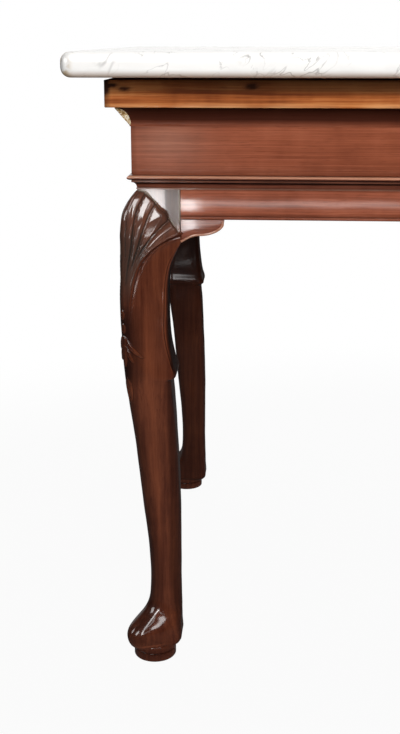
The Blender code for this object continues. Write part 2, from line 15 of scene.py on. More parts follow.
import bmesh
import bpy
import numpy as np
from bpy.types import ID, GeometryNodeTree, Material, Mesh, Node, NodeOutputs, NodeSocket, NodeTree, Object
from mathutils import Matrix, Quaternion, Vector
from mathutils.kdtree import KDTree

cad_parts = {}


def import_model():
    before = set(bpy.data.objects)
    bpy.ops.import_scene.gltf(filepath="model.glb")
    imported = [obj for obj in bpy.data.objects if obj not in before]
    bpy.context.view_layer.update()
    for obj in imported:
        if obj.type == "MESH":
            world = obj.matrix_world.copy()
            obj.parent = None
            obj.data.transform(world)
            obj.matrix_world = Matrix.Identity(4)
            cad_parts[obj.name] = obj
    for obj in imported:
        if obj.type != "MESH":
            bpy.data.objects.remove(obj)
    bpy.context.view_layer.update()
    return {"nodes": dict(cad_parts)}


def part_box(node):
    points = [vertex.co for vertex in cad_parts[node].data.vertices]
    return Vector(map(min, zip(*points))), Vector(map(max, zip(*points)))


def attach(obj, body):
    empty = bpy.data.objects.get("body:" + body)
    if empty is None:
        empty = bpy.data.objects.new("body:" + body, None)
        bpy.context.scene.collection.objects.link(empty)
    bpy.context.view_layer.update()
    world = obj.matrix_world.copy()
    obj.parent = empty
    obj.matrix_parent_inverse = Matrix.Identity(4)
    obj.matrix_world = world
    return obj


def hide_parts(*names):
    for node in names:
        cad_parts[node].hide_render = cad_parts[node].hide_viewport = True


LOG = logging.getLogger("serving_table")
MM = 0.001
IMAGE_WIDTH = 400
IMAGE_HEIGHT = 734

Array = np.ndarray
Pair = tuple[float, float]
Triple = tuple[float, float, float]
Profile = list[Pair]
Rows = tuple[tuple[float, ...], ...]
Field = Callable[[Array, Array, Array], Array]
Adder = Callable[..., Node]


class Labelled(Enum):
    """A choice whose name the solids spell in small letters."""

    @property
    def label(self) -> str:
        """The name as the solids spell it."""
        return self.name.lower()


class Side(Labelled):
    """A shown side of the frame, by the way along it and the way out of it."""

    FRONT = ((1.0, 0.0), (0.0, -1.0))
    LEFT = ((0.0, 1.0), (-1.0, 0.0))
    RIGHT = ((0.0, 1.0), (1.0, 0.0))

    @property
    def along(self) -> Array:
        """The way along the side, in plan."""
        return np.array(self.value[0])

    @property
    def outward(self) -> Array:
        """The way out of the side, in plan."""
        return np.array(self.value[1])

    @property
    def mitres(self) -> Pair:
        """How far each end of a run leans out: 1 for a mitre, 0 for the square end at the wall."""
        return (1.0, 1.0) if self is Side.FRONT else (1.0, 0.0)


class Corner(Labelled):
    """A corner of the frame, by the signs that lead inward from it."""

    FRONT_LEFT = (1, 1)
    FRONT_RIGHT = (-1, 1)
    BACK_LEFT = (1, -1)
    BACK_RIGHT = (-1, -1)

    @property
    def is_front(self) -> bool:
        """Whether the corner is on the front of the table."""
        return self.value[1] > 0


class Body(Enum):
    """A body of the model that a piece rides on."""

    FRAME = "frame"
    MARBLE = "marble"


# Nodes, meshes and attributes


def linear(hex_colour: str) -> tuple[float, float, float, float]:
    """Turns an sRGB hex colour into linear values.

    Args:
        hex_colour: the colour as #rrggbb.

    Returns:
        Linear red, green and blue with an alpha of 1.
    """
    channels = [int(hex_colour[k : k + 2], 16) / 255 for k in (1, 3, 5)]
    values = [c / 12.92 if c <= 0.04045 else ((c + 0.055) / 1.055) ** 2.4 for c in channels]
    return (*values, 1.0)


def feed(tree: NodeTree, node: Node, inputs: dict | Sequence) -> None:
    """Sets or links a node's inputs.

    Args:
        tree: the node's tree.
        node: the node.
        inputs: values, output sockets or nodes, by the input's name or number, or in their order. A
            node stands for its first output.
    """
    rows = inputs if isinstance(inputs, dict) else dict(enumerate(inputs))
    for key, value in rows.items():
        source = value.outputs[0] if isinstance(value, Node) else value
        if isinstance(source, NodeSocket):
            tree.links.new(source, node.inputs[key])
        else:
            node.inputs[key].default_value = source


def add_node(tree: NodeTree, kind: str, inputs: dict | Sequence = (), **settings: object) -> Node:
    """Adds a node with its settings and links.

    Args:
        tree: the tree that gets the node.
        kind: the node's type name.
        inputs: what its inputs get.
        settings: the node's own properties.

    Returns:
        The new node.
    """
    node = tree.nodes.new(kind)
    for name, value in settings.items():
        setattr(node, name, value)
    feed(tree, node, inputs)
    return node


def ease(low: float, high: float, value: Array) -> Array:
    """A smooth step from 0 at low to 1 at high."""
    share = np.clip((value - low) / (high - low), 0.0, 1.0)
    return share * share * (3 - 2 * share)


def hump(value: Array, middle: float, width: float) -> Array:
    """A rounded hump of height 1 about a middle."""
    return np.exp(-(((value - middle) / width) ** 2))


def ripple(along: Array, across: Array, size: float, seed: float) -> Array:
    """Slow waves of about unit height, as hand tools leave them.

    Args:
        along: distances along the piece.
        across: distances across it.
        size: the length of a wave.
        seed: shifts the waves, so that no two pieces share them.

    Returns:
        The height of the waves at each point.
    """
    turn = 2 * math.pi / size
    waves = np.sin(turn * along + 1.7 * seed) + np.sin(turn * (0.43 * along + 0.9 * across) + 2.9 * seed)
    waves = waves + 0.7 * np.sin(turn * (1.9 * along - 1.3 * across) + 4.1 * seed)
    return waves / 2.7


def stand(name: str, data: ID) -> Object:
    """Makes some data an object of the scene.

    Args:
        name: the object's name.
        data: a mesh, a lamp or a lens.

    Returns:
        The new object.
    """
    item = bpy.data.objects.new(name, data)
    bpy.context.scene.collection.objects.link(item)
    return item


def skin(name: str, rings: Array) -> Mesh:
    """Skins a stack of closed rings and caps both ends.

    Args:
        name: the mesh's name.
        rings: an array of rings, points and coordinates.

    Returns:
        The new mesh, with its points in the order of the rings.
    """
    count, around = rings.shape[:2]
    index = np.arange(count * around).reshape(count, around)
    following = np.roll(index, -1, axis=1)
    quads = np.stack([index[:-1], following[:-1], following[1:], index[1:]], axis=-1).reshape(-1, 4)
    mesh = bpy.data.meshes.new(name)
    caps = [index[0].tolist(), index[-1].tolist()]
    mesh.from_pydata(rings.reshape(-1, 3).tolist(), [], quads.tolist() + caps)
    return mesh


def mesh_points(mesh: Mesh) -> Array:
    """Reads a mesh's points as rows of x, y and z."""
    return np.array([vertex.co for vertex in mesh.vertices], dtype=float)


# Finishes


class Finish:
    """A finish that becomes a material on its first use."""

    name: str
    slot: str

    def material(self) -> Material:
        """Looks the finish up, or draws it.

        Returns:
            The finish as a material.
        """
        made = bpy.data.materials.get(self.name)
        if made is None:
            made = bpy.data.materials.new(self.name)
            made.use_nodes = True
            tree = made.node_tree
            feed(tree, tree.nodes["Principled BSDF"], self.paint(partial(add_node, tree)))
        return made

    def paint(self, add: Adder) -> dict[str, object]:
        """Draws the finish.

        Args:
            add: adds a node to the material's tree.

        Returns:
            What the shader's inputs get, by name.
        """
        raise NotImplementedError


@dataclass(frozen=True)
class PolishedWood(Finish):
    """Planed and French-polished timber whose fibres follow the piece's grain attribute.

    The eye gets long streaks along the fibres, short dark pores, a slow ribbon figure across them,
    grime in the hollows, painted shade and painted highlights from the grime and wear layers, and a
    soft shine from the polish.
    """

    name: str
    dark: str
    body: str
    light: str
    # The grime colour also paints shade, and the worn colour also paints highlights and sheen
    grime: str
    worn: str
    slot: str
    dust: str = "#8d8579"
    streak_mm: float = 3.4
    streak_length_mm: float = 320.0
    # Real pores are about 0.2 mm wide; they are drawn coarser here so that they show in the render
    pore_mm: float = 1.1
    pore_length_mm: float = 22.0
    figure_mm: float = 38.0
    cloud_mm: float = 170.0
    bend_mm: float = 5.0
    relief_mm: float = 0.25
    contrast: float = 1.0
    roughness: float = 0.34
    coat: float = 0.35
    coat_roughness: float = 0.12
    coat_ior: float = 1.7

    def paint(self, add: Adder) -> dict[str, object]:
        """Draws streaks, figure, clouds and pores, then wear and highlights, grime and shade, dust and
        polish.

        Args:
            add: adds a node to the material's tree.

        Returns:
            What the shader's inputs get, by name.
        """
        fibres = add("ShaderNodeAttribute", attribute_name="grain").outputs["Vector"]

        def grains(vector: NodeSocket, length_mm: float, width_mm: float, detail: float) -> Node:
            """Noise along the fibres.

            Args:
                vector: the place along and across the fibres.
                length_mm: how long its grains are.
                width_mm: how wide they are.
                detail: how fine it gets.

            Returns:
                The noise's node.
            """
            scale = [1 / (size * MM) for size in (length_mm, width_mm, width_mm)]
            scaled = add("ShaderNodeVectorMath", (vector, scale), operation="MULTIPLY")
            sockets = {"Vector": scaled, "Scale": 1.0, "Detail": detail, "Roughness": 0.62}
            return add("ShaderNodeTexNoise", sockets)

        sway = grains(fibres, self.cloud_mm, self.cloud_mm / 4, 1.0).outputs["Color"]
        bend = (0.0, self.bend_mm * MM, self.bend_mm * MM)
        bent = add("ShaderNodeVectorMath", (sway, bend, fibres), operation="MULTIPLY_ADD").outputs[0]
        streak = grains(bent, self.streak_length_mm, self.streak_mm, 4.0)
        pore = grains(bent, self.pore_length_mm, self.pore_mm, 2.0)
        figure = grains(fibres, self.figure_mm, self.figure_mm * 2.4, 2.0)
        cloud = grains(fibres, self.cloud_mm, self.cloud_mm / 3, 2.0)

        tone: Node | float = 0.5
        for source, strength in ((streak, 1.15), (figure, 0.40), (cloud, 0.75)):
            centred = add("ShaderNodeMath", (source, 0.5), operation="SUBTRACT")
            tone = add("ShaderNodeMath", (centred, strength * self.contrast, tone), operation="MULTIPLY_ADD")
        ramp = add("ShaderNodeValToRGB", {"Fac": tone})
        stops = ramp.color_ramp.elements
        stops[0].position, stops[0].color = 0.22, linear(self.dark)
        stops[1].position, stops[1].color = 0.80, linear(self.light)
        stops.new(0.50).color = linear(self.body)

        shades = [add("ShaderNodeAttribute", attribute_name=label) for label in ("grime", "wear", "dust")]
        grime, wear, dust = (shade.outputs["Fac"] for shade in shades)
        lines = add("ShaderNodeMapRange", {"Value": pore, "From Min": 0.56, "From Max": 0.72, "To Max": 0.55})
        patchy = add("ShaderNodeMath", (streak, 0.35), operation="ADD")
        rubbed = add("ShaderNodeMath", (wear, patchy), operation="MULTIPLY")
        colour = ramp.outputs[0]
        for share, tint in ((lines, self.dark), (rubbed, self.worn), (grime, self.grime), (dust, self.dust)):
            layer = {0: share, 6: colour, 7: linear(tint)}
            colour = add("ShaderNodeMix", layer, data_type="RGBA").outputs[2]

        shine: Node | float = self.roughness
        uneven = add("ShaderNodeMath", (cloud, 0.5), operation="SUBTRACT")
        for source, strength in ((uneven, 0.16), (grime, 0.22)):
            shine = add("ShaderNodeMath", (source, strength, shine), operation="MULTIPLY_ADD")
        raised = add("ShaderNodeMath", (streak, 0.5), operation="MULTIPLY")
        relief = add("ShaderNodeMath", (raised, lines), operation="SUBTRACT")
        coat: Node | float = self.coat
        for layer in (grime, dust):
            clean = add("ShaderNodeMath", (1.0, layer), operation="SUBTRACT")
            coat = add("ShaderNodeMath", (coat, clean), operation="MULTIPLY")
        height = {"Height": relief, "Strength": 0.25, "Distance": self.relief_mm * MM}
        return {
            "Base Color": colour,
            "Roughness": shine,
            "Normal": add("ShaderNodeBump", height),
            "IOR": 1.5,
            "Specular IOR Level": 0.06,
            "Coat Weight": coat,
            "Coat IOR": self.coat_ior,
            "Coat Roughness": self.coat_roughness,
        }


@dataclass(frozen=True)
class HonedMarble(Finish):
    """White statuary marble, sawn and honed: grey veins, faint clouds and a yellow stain at one end."""

    name: str = "white_marble"
    ground: str = "#f3f1ee"
    cloud: str = "#e2e0de"
    vein: str = "#918c8a"
    stain: str = "#b79a5e"
    warm: str = "#b08354"
    slot: str = "marble"
    vein_spacing_mm: float = 80.0
    cloud_mm: float = 95.0
    fleck_mm: float = 14.0
    mottle_mm: float = 30.0
    pit_mm: float = 6.0
    pit_depth_mm: float = 0.4
    # Where the painted warm shade at the foot of the slab's edge starts, and how far it rises
    foot: float = 0.820
    warm_rise: float = 0.0095
    stain_span: Pair = (-0.740, -0.757)
    roughness: float = 0.30

    def paint(self, add: Adder) -> dict[str, object]:
        """Draws clouds, leaning veins, the stained end and a painted warm shade along the foot of the slab's
        edge.

        Args:
            add: adds a node to the material's tree.

        Returns:
            What the shader's inputs get, by name.
        """
        place = add("ShaderNodeTexCoord").outputs["Object"]
        where = add("ShaderNodeSeparateXYZ", (place,)).outputs
        lean = {"Vector": place, "Rotation": (0.0, 0.8, 0.0), "Scale": (1.0, 1.0, 2.6)}
        leaning = add("ShaderNodeMapping", lean, vector_type="TEXTURE").outputs[0]

        def grains(vector: NodeSocket, size_mm: float, detail: float, turn: float) -> Node:
            """Noise on axes that are tipped and turned about the upright.

            Args:
                vector: the place in the slab.
                size_mm: how large its grains are.
                detail: how fine it gets.
                turn: how far the axes turn.

            Returns:
                The noise's node.
            """
            turned = add("ShaderNodeMapping", {"Vector": vector, "Rotation": (0.5, 0.3, turn)})
            sockets = {"Vector": turned, "Scale": 1 / (size_mm * MM), "Detail": detail, "Distortion": 0.5}
            return add("ShaderNodeTexNoise", sockets)

        spans = [
            (grains(place, self.cloud_mm, 4.0, 0.4), 0.48, 0.80, 0.0, 0.6),
            (grains(place, self.vein_spacing_mm * 0.8, 1.0, 1.1), 0.44, 0.60, 0.0, 1.0),
            (where["X"], *self.stain_span, 0.0, 1.0),
            (grains(place, self.fleck_mm, 3.0, 0.9), 0.44, 0.60, 0.0, 0.85),
            # Painted warm shade along the foot of the slab's edge, for the light the wood throws back up
            (where["Z"], self.foot + self.warm_rise, self.foot, 0.0, 0.60),
        ]
        for size_mm, turn in ((self.vein_spacing_mm, 1.3), (self.vein_spacing_mm / 2.6, 0.5)):
            centred = add("ShaderNodeMath", (grains(leaning, size_mm, 4.0, turn), 0.5), operation="SUBTRACT")
            spans.append((add("ShaderNodeMath", (centred,), operation="ABSOLUTE"), 0.012, 0.0, 0.0, 0.62))
        clouds, patches, end, flecks, foot, *veins = (
            add("ShaderNodeMapRange", span, interpolation_type="SMOOTHSTEP") for span in spans
        )
        layers = [(clouds, self.cloud)]
        crossed = [(vein, patches, self.vein) for vein in veins] + [(end, flecks, self.stain)]
        for first, second, tint in crossed:
            layers.append((add("ShaderNodeMath", (first, second), operation="MULTIPLY"), tint))
        colour: NodeSocket | tuple = linear(self.ground)
        for share, tint in (*layers, (foot, self.warm)):
            layer = {0: share, 6: colour, 7: linear(tint)}
            colour = add("ShaderNodeMix", layer, data_type="RGBA").outputs[2]
        mottle = grains(place, self.mottle_mm, 3.0, 0.0)
        polish = add("ShaderNodeMath", (mottle, 0.18, self.roughness - 0.09), operation="MULTIPLY_ADD")
        pits = grains(place, self.pit_mm, 4.0, 0.0)
        height = {"Height": pits, "Strength": 0.12, "Distance": self.pit_depth_mm * MM}
        bump = add("ShaderNodeBump", height)
        return {"Base Color": colour, "Roughness": polish, "Normal": bump, "IOR": 1.5}


@dataclass(frozen=True)
class SawnPine(Finish):
    """Sawn pine on the solids that keep their shape: pale with straight darker year rings."""

    name: str = "sawn_pine_inside"
    slot: str = "pine"
    light: str = "#c9a672"
    dark: str = "#9a7244"
    ring_mm: float = 6.0
    length_mm: float = 220.0
    relief_mm: float = 0.4
    roughness: float = 0.75

    def paint(self, add: Adder) -> dict[str, object]:
        """Draws the year rings along the solid's depth.

        Args:
            add: adds a node to the material's tree.

        Returns:
            What the shader's inputs get, by name.
        """
        place = add("ShaderNodeTexCoord").outputs["Object"]
        sizes = tuple(1 / (size * MM) for size in (self.ring_mm, self.length_mm, self.ring_mm))
        scaled = add("ShaderNodeVectorMath", (place, sizes), operation="MULTIPLY")
        rings = add("ShaderNodeTexNoise", {"Vector": scaled, "Scale": 1.0, "Detail": 3.0})
        layer = {0: rings, 6: linear(self.light), 7: linear(self.dark)}
        colour = add("ShaderNodeMix", layer, data_type="RGBA").outputs[2]
        height = {"Height": rings, "Strength": 0.3, "Distance": self.relief_mm * MM}
        return {"Base Color": colour, "Normal": add("ShaderNodeBump", height), "Roughness": self.roughness}


# Its grime colour also paints shade on the legs' turned-away faces; its worn colour also paints highlights
LEG_MAHOGANY = PolishedWood(
    "dark_polished_mahogany", "#3a160c", "#552a1a", "#6f3b25", "#150806", "#8a4a2e", "dark_mahogany",
    streak_mm=6.0, contrast=0.7, roughness=0.32, coat=0.75, coat_roughness=0.11,
)
# Its grime colour also paints shade in the moulding; its worn colour paints highlights on the beads
MOULDING_MAHOGANY = PolishedWood(
    "moulded_mahogany", "#4a2014", "#7a4230", "#96563f", "#180906", "#d09a7c", "dark_mahogany",
    roughness=0.30, coat=0.5, coat_roughness=0.09,
)
# Its grime colour also paints shade on the frieze and in the cove; its worn colour paints a sheen
FRIEZE_MAHOGANY = PolishedWood(
    "red_polished_mahogany", "#5e2c1b", "#884830", "#a56045", "#2c110a", "#b28a78", "red_mahogany",
    streak_mm=1.9, contrast=0.62, roughness=0.36, coat=0.10, coat_roughness=0.22,
)
# Its grime colour paints shade along the rail's lip and under the bead
RAIL_MAHOGANY = PolishedWood(
    "red_burnished_mahogany", "#64301e", "#914f38", "#ad664b", "#2c110a", "#b8775a", "red_mahogany",
    streak_mm=2.8, contrast=0.75, roughness=0.34, coat=0.6, coat_roughness=0.10,
)
# Its grime colour paints the slab's shadow on the cornice boards, besides small knots
BOARD_MAHOGANY = PolishedWood(
    "worn_waxed_mahogany", "#6d3315", "#a25a2c", "#c48049", "#1f0c05", "#d09a68", "board_mahogany",
    streak_mm=4.5, contrast=1.25, roughness=0.46, coat=0.12,
)
PINE = PolishedWood(
    "sawn_pine", "#8a6238", "#b58d5a", "#cda876", "#4d3520", "#d8bb90", "pine",
    streak_mm=7.0, roughness=0.72, coat=0.0,
)
# Its pale colours paint a highlight on the lit end of the left cove, at the front left mitre
MITRE_FILLER_HIGHLIGHT = PolishedWood(
    "old_glue_and_filler", "#7a5a35", "#b89a68", "#efe6d2", "#3a2515", "#efe6d2", "red_mahogany",
    streak_mm=2.0, streak_length_mm=5.0, figure_mm=4.0, cloud_mm=9.0, contrast=1.6, roughness=0.75, coat=0.0,
)
WHITE_MARBLE = HonedMarble()
PINE_CORE = SawnPine()


@dataclass
class Dress:
    """How a mesh is finished: its finish, the way its grain runs, and its grime, wear and dust.

    The grain holds the distance along the fibres and two distances across them. Grime, wear and dust
    go from 0 to 1, and are 0 where they aren't given. The grime also carries painted shade and the wear
    painted highlights.
    """

    finish: Finish
    grain: Array
    grime: Array | None = None
    wear: Array | None = None
    dust: Array | None = None
    sharp_angle: float = 35.0

    def apply(self, name: str, mesh: Mesh, nodes: Sequence[str], body: Body = Body.FRAME) -> None:
        """Finishes a mesh, makes it a piece of the scene, hands it to the frame and reports it.

        Args:
            name: the piece's name.
            mesh: a closed mesh in the frame of the solids.
            nodes: the solids that the piece stands for.
            body: the body that it rides on.
        """
        closed = bmesh.new()
        closed.from_mesh(mesh)
        bmesh.ops.recalc_face_normals(closed, faces=closed.faces)
        closed.to_mesh(mesh)
        closed.free()
        mesh.materials.clear()
        mesh.materials.append(self.finish.material())
        fibres = mesh.attributes.new("grain", "FLOAT_VECTOR", "POINT")
        fibres.data.foreach_set("vector", self.grain.astype(np.float32).ravel())
        for label, given in (("grime", self.grime), ("wear", self.wear), ("dust", self.dust)):
            values = np.zeros(len(self.grain)) if given is None else given
            layer = mesh.attributes.new(label, "FLOAT", "POINT")
            layer.data.foreach_set("value", np.clip(values, 0.0, 1.0).astype(np.float32))
        mesh.shade_smooth()
        mesh.set_sharp_from_angle(angle=math.radians(self.sharp_angle))
        mesh.name = name
        piece = stand(name, mesh)
        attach(piece, body.value)
        if nodes:
            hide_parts(*nodes)
        LOG.info("%s: %d faces on %s", name, len(mesh.polygons), body.value)


# Profiles and runs


def eased_board(outs: Pair, levels: Pair, easing: float, steps: int) -> Profile:
    """The profile of a board with eased arrises and extra points up its outer face.

    Args:
        outs: the board's inner and outer face, outward from the frieze.
        levels: the levels of its foot and its top.
        easing: the radius of its arrises.
        steps: how many stretches the outer face is cut into.

    Returns:
        Points of outward distance and level, once round the profile.
    """
    inner, outer = outs[0] + easing, outs[1] - easing
    foot, top = levels[0] + easing, levels[1] - easing
    radii = (easing, easing)
    corners = ((outer, foot), (outer, top), (inner, top), (inner, foot))
    first, *others = (arc_points(c, radii, (90 * k - 90, 90 * k), 3) for k, c in enumerate(corners))
    face = [(outs[1], foot + (top - foot) * step / steps) for step in range(1, steps)]
    return sum(others, first + face)


def arc_points(centre: Pair, radii: Pair, turn: Pair, steps: int) -> Profile:
    """Points of an elliptic arc.

    Args:
        centre: the arc's centre, as outward distance and level.
        radii: its radii along those two.
        turn: the angles it starts and ends at, in degrees.
        steps: how many stretches it is cut into.

    Returns:
        The points, both ends included.
    """
    angles = np.radians(np.linspace(*turn, steps + 1))
    return [(centre[0] + radii[0] * math.cos(t), centre[1] + radii[1] * math.sin(t)) for t in angles]


def node_levels(node: str) -> Pair:
    """The levels of a solid's foot and top."""
    low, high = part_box(node)
    return low[2], high[2]


@dataclass(frozen=True)
class Plan:
    """The frieze's outer faces in plan, and the sizes that the runs, the legs and the ears share."""

    left: float
    right: float
    front: float
    back: float
    setback: float = 0.006
    post_inner: float = 0.0575
    block_extra: float = 0.0045
    gap: float = 0.0003

    @classmethod
    def from_solids(cls) -> "Plan":
        """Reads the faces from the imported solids."""
        left, right, front, back = (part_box(f"frieze_{way}") for way in ("left", "right", "front", "back"))
        return cls(left[0][0], right[1][0], front[0][1], back[1][1])

    def start(self, side: Side) -> Array:
        """The corner that a side is measured from."""
        return self.corner(Corner.FRONT_RIGHT if side is Side.RIGHT else Corner.FRONT_LEFT)

    def corner(self, corner: Corner) -> Array:
        """Where the faces of a corner meet."""
        sign_x, sign_y = corner.value
        return np.array([self.left if sign_x > 0 else self.right, self.front if sign_y > 0 else self.back])

    def length(self, side: Side) -> float:
        """The length of a side."""
        return self.right - self.left if side is Side.FRONT else self.back - self.front

    def reach(self, side: Side, node: str) -> float:
        """How far a solid stands out from the frieze's face.

        Args:
            side: the side that the solid is on.
            node: the solid's name.

        Returns:
            The distance from that face to the solid's own.
        """
        axis = int(np.argmax(np.abs(side.outward)))
        low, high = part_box(node)
        face = high[axis] if side.outward[axis] > 0 else low[axis]
        return float(abs(face - self.start(side)[axis]))


def drawn_line(points: Sequence[Sequence[float]], closed: bool) -> Object:
    """Draws a line of edges for a Geometry Nodes tree to read.

    Args:
        points: the line's points.
        closed: whether its last point joins its first.

    Returns:
        The line as an object of the scene.
    """
    count = len(points)
    edges = [(k, (k + 1) % count) for k in range(count if closed else count - 1)]
    mesh = bpy.data.meshes.new("line")
    mesh.from_pydata([tuple(point) for point in points], edges, [])
    return stand("line", mesh)


@dataclass
class LineTool:
    """A Geometry Nodes tree that makes a mesh from a drawn line; it is built once and run for each piece."""

    # The tree's name, and kinds of socket by the names of the tool's own inputs
    title: ClassVar[str] = ""
    inputs: ClassVar[dict[str, str]] = {}
    tree: GeometryNodeTree = field(init=False)

    def __post_init__(self) -> None:
        """Builds the tree: named inputs, the tool's own nodes, then plain geometry with its material."""
        self.tree = bpy.data.node_groups.new(self.title, "GeometryNodeTree")
        kinds = {"Geometry": "Geometry", "Line": "Object", **self.inputs, "Finish": "Material"}
        for label, kind in kinds.items():
            self.tree.interface.new_socket(label, in_out="INPUT", socket_type=f"NodeSocket{kind}")
        self.tree.interface.new_socket("Geometry", in_out="OUTPUT", socket_type="NodeSocketGeometry")
        add = partial(add_node, self.tree)
        given = add("NodeGroupInput").outputs
        drawn = add("GeometryNodeObjectInfo", {"Object": given["Line"]}).outputs["Geometry"]
        shape = self.grow(add, given, add("GeometryNodeMeshToCurve", {"Mesh": drawn}))
        real = add("GeometryNodeRealizeInstances", {"Geometry": shape})
        dressed = add("GeometryNodeSetMaterial", {"Geometry": real, "Material": given["Finish"]})
        add("NodeGroupOutput", {"Geometry": dressed})

    def grow(self, add: Adder, given: NodeOutputs, line: Node) -> Node:
        """Adds the tool's own nodes.

        Args:
            add: adds a node to the tree.
            given: the tree's inputs.
            line: the drawn line as a curve.

        Returns:
            The node that gives the shape.
        """
        raise NotImplementedError

    def run(self, line: Object, values: dict[str, object]) -> Mesh:
        """Runs the tree once on a drawn line, which goes, and keeps its result as a plain mesh.

        Args:
            line: the drawn line.
            values: what the tree's other inputs are set to, by their names.

        Returns:
            The plain mesh.
        """
        host = stand(self.tree.name, bpy.data.meshes.new(self.tree.name))
        modifier = host.modifiers.new(self.tree.name, "NODES")
        modifier.node_group = self.tree
        values = {"Line": line, **values}
        for item in self.tree.interface.items_tree:
            if item.in_out == "INPUT" and item.name in values:
                modifier[item.identifier] = values[item.name]
        host.data.update()
        evaluated = host.evaluated_get(bpy.context.evaluated_depsgraph_get())
        mesh = bpy.data.meshes.new_from_object(evaluated)
        host.modifiers.remove(modifier)
        bpy.data.objects.remove(host, do_unlink=True)
        bpy.data.objects.remove(line, do_unlink=True)
        return mesh


@dataclass
class RunSweep(LineTool):
    """Draws a closed profile along +X, with its outward side towards -Y, and shears its ends into mitres."""

    title: ClassVar[str] = "moulded_run"
    inputs: ClassVar[dict[str, str]] = {
        "Length": "Float",
        "Stations": "Int",
        "Start Mitre": "Float",
        "End Mitre": "Float",
    }
    spacing: float = 0.008

    def grow(self, add: Adder, given: NodeOutputs, line: Node) -> Node:
        """Sweeps the line along +X, then moves each point along by its distance out times its lean.

        Args:
            add: adds a node to the tree.
            given: the tree's inputs.
            line: the drawn profile as a curve.

        Returns:
            The node that gives the shape.
        """
        far = add("ShaderNodeCombineXYZ", {"X": given["Length"]})
        straight = add("GeometryNodeCurvePrimitiveLine", {"End": far})
        path = add("GeometryNodeResampleCurve", {"Curve": straight, "Count": given["Stations"]})
        sockets = {"Curve": path, "Profile Curve": line, "Fill Caps": True}
        swept = add("GeometryNodeCurveToMesh", sockets)
        place = add("ShaderNodeSeparateXYZ", (add("GeometryNodeInputPosition"),)).outputs
        share = add("ShaderNodeMath", (place["X"], given["Length"]), operation="DIVIDE")
        rest = add("ShaderNodeMath", (1.0, share), operation="SUBTRACT")
        near = add("ShaderNodeMath", (rest, given["Start Mitre"]), operation="MULTIPLY")
        distant = add("ShaderNodeMath", (share, given["End Mitre"]), operation="MULTIPLY")
        lean = add("ShaderNodeMath", (near, distant), operation="SUBTRACT")
        along = add("ShaderNodeMath", (place["Y"], lean), operation="MULTIPLY")
        shear = add("ShaderNodeCombineXYZ", {"X": along})
        return add("GeometryNodeSetPosition", {"Geometry": swept, "Offset": shear})


@dataclass
class EdgeBead(LineTool):
    """Lays a round bead along a drawn line."""

    title: ClassVar[str] = "edge_bead"
    inputs: ClassVar[dict[str, str]] = {"Radius": "Float", "Sides": "Int"}

    def grow(self, add: Adder, given: NodeOutputs, line: Node) -> Node:
        """Sweeps a circle along the line.

        Args:
            add: adds a node to the tree.
            given: the tree's inputs.
            line: the drawn line as a curve.

        Returns:
            The node that gives the shape.
        """
        sockets = {"Resolution": given["Sides"], "Radius": given["Radius"]}
        circle = add("GeometryNodeCurvePrimitiveCircle", sockets)
        return add("GeometryNodeCurveToMesh", {"Curve": line, "Profile Curve": circle, "Fill Caps": True})


@dataclass
class Run:
    """One moulded or plain run along a side of the frame.

    The shape, grime and wear are functions of the distance along the run, the distance out from the
    frieze's face and the level; the grime is often painted shade and the wear painted highlights. The
    shape returns how far each point moves out and up.
    """

    name: str
    side: Side
    profile: Profile
    finish: PolishedWood
    seed: float
    nodes: tuple[str, ...] = ()
    grime: Field | None = None
    wear: Field | None = None
    shape: Field | None = None
    mitres: Pair | None = None
    trim: Pair = (0.0, 0.0)
    waves: float = 0.00012
    wave_length: float = 0.17

    def build(self, plan: Plan, sweep: RunSweep) -> None:
        """Builds, places and dresses the run.

        Args:
            plan: the frame's plan.
            sweep: the tree that draws the profile.
        """
        length = plan.length(self.side) - sum(self.trim)
        start, end = self.side.mitres if self.mitres is None else self.mitres
        values = {
            "Length": length,
            "Stations": max(2, round(length / sweep.spacing)),
            "Start Mitre": start,
            "End Mitre": end,
            "Finish": self.finish.material(),
        }
        mesh = sweep.run(drawn_line([(out, -level, 0.0) for out, level in self.profile], True), values)
        local = mesh_points(mesh)
        where = (local[:, 0] + self.trim[0], -local[:, 1], local[:, 2])
        along, out, level = where
        shift = np.zeros((2, len(local))) if self.shape is None else self.shape(*where)
        moved_out = out + self.waves * ripple(along, level, self.wave_length, self.seed) + shift[0]
        flat = plan.start(self.side) + np.outer(along, self.side.along)
        flat = flat + np.outer(moved_out, self.side.outward)
        mesh.vertices.foreach_set("co", np.column_stack([flat, level + shift[1]]).ravel())
        grain = np.column_stack([along + 3.1 * self.seed, level, out + 0.7 * self.seed])
        grime, wear = (None if shade is None else shade(*where) for shade in (self.grime, self.wear))
        Dress(self.finish, grain, grime, wear).apply(self.name, mesh, self.nodes)


# Sub-assemblies


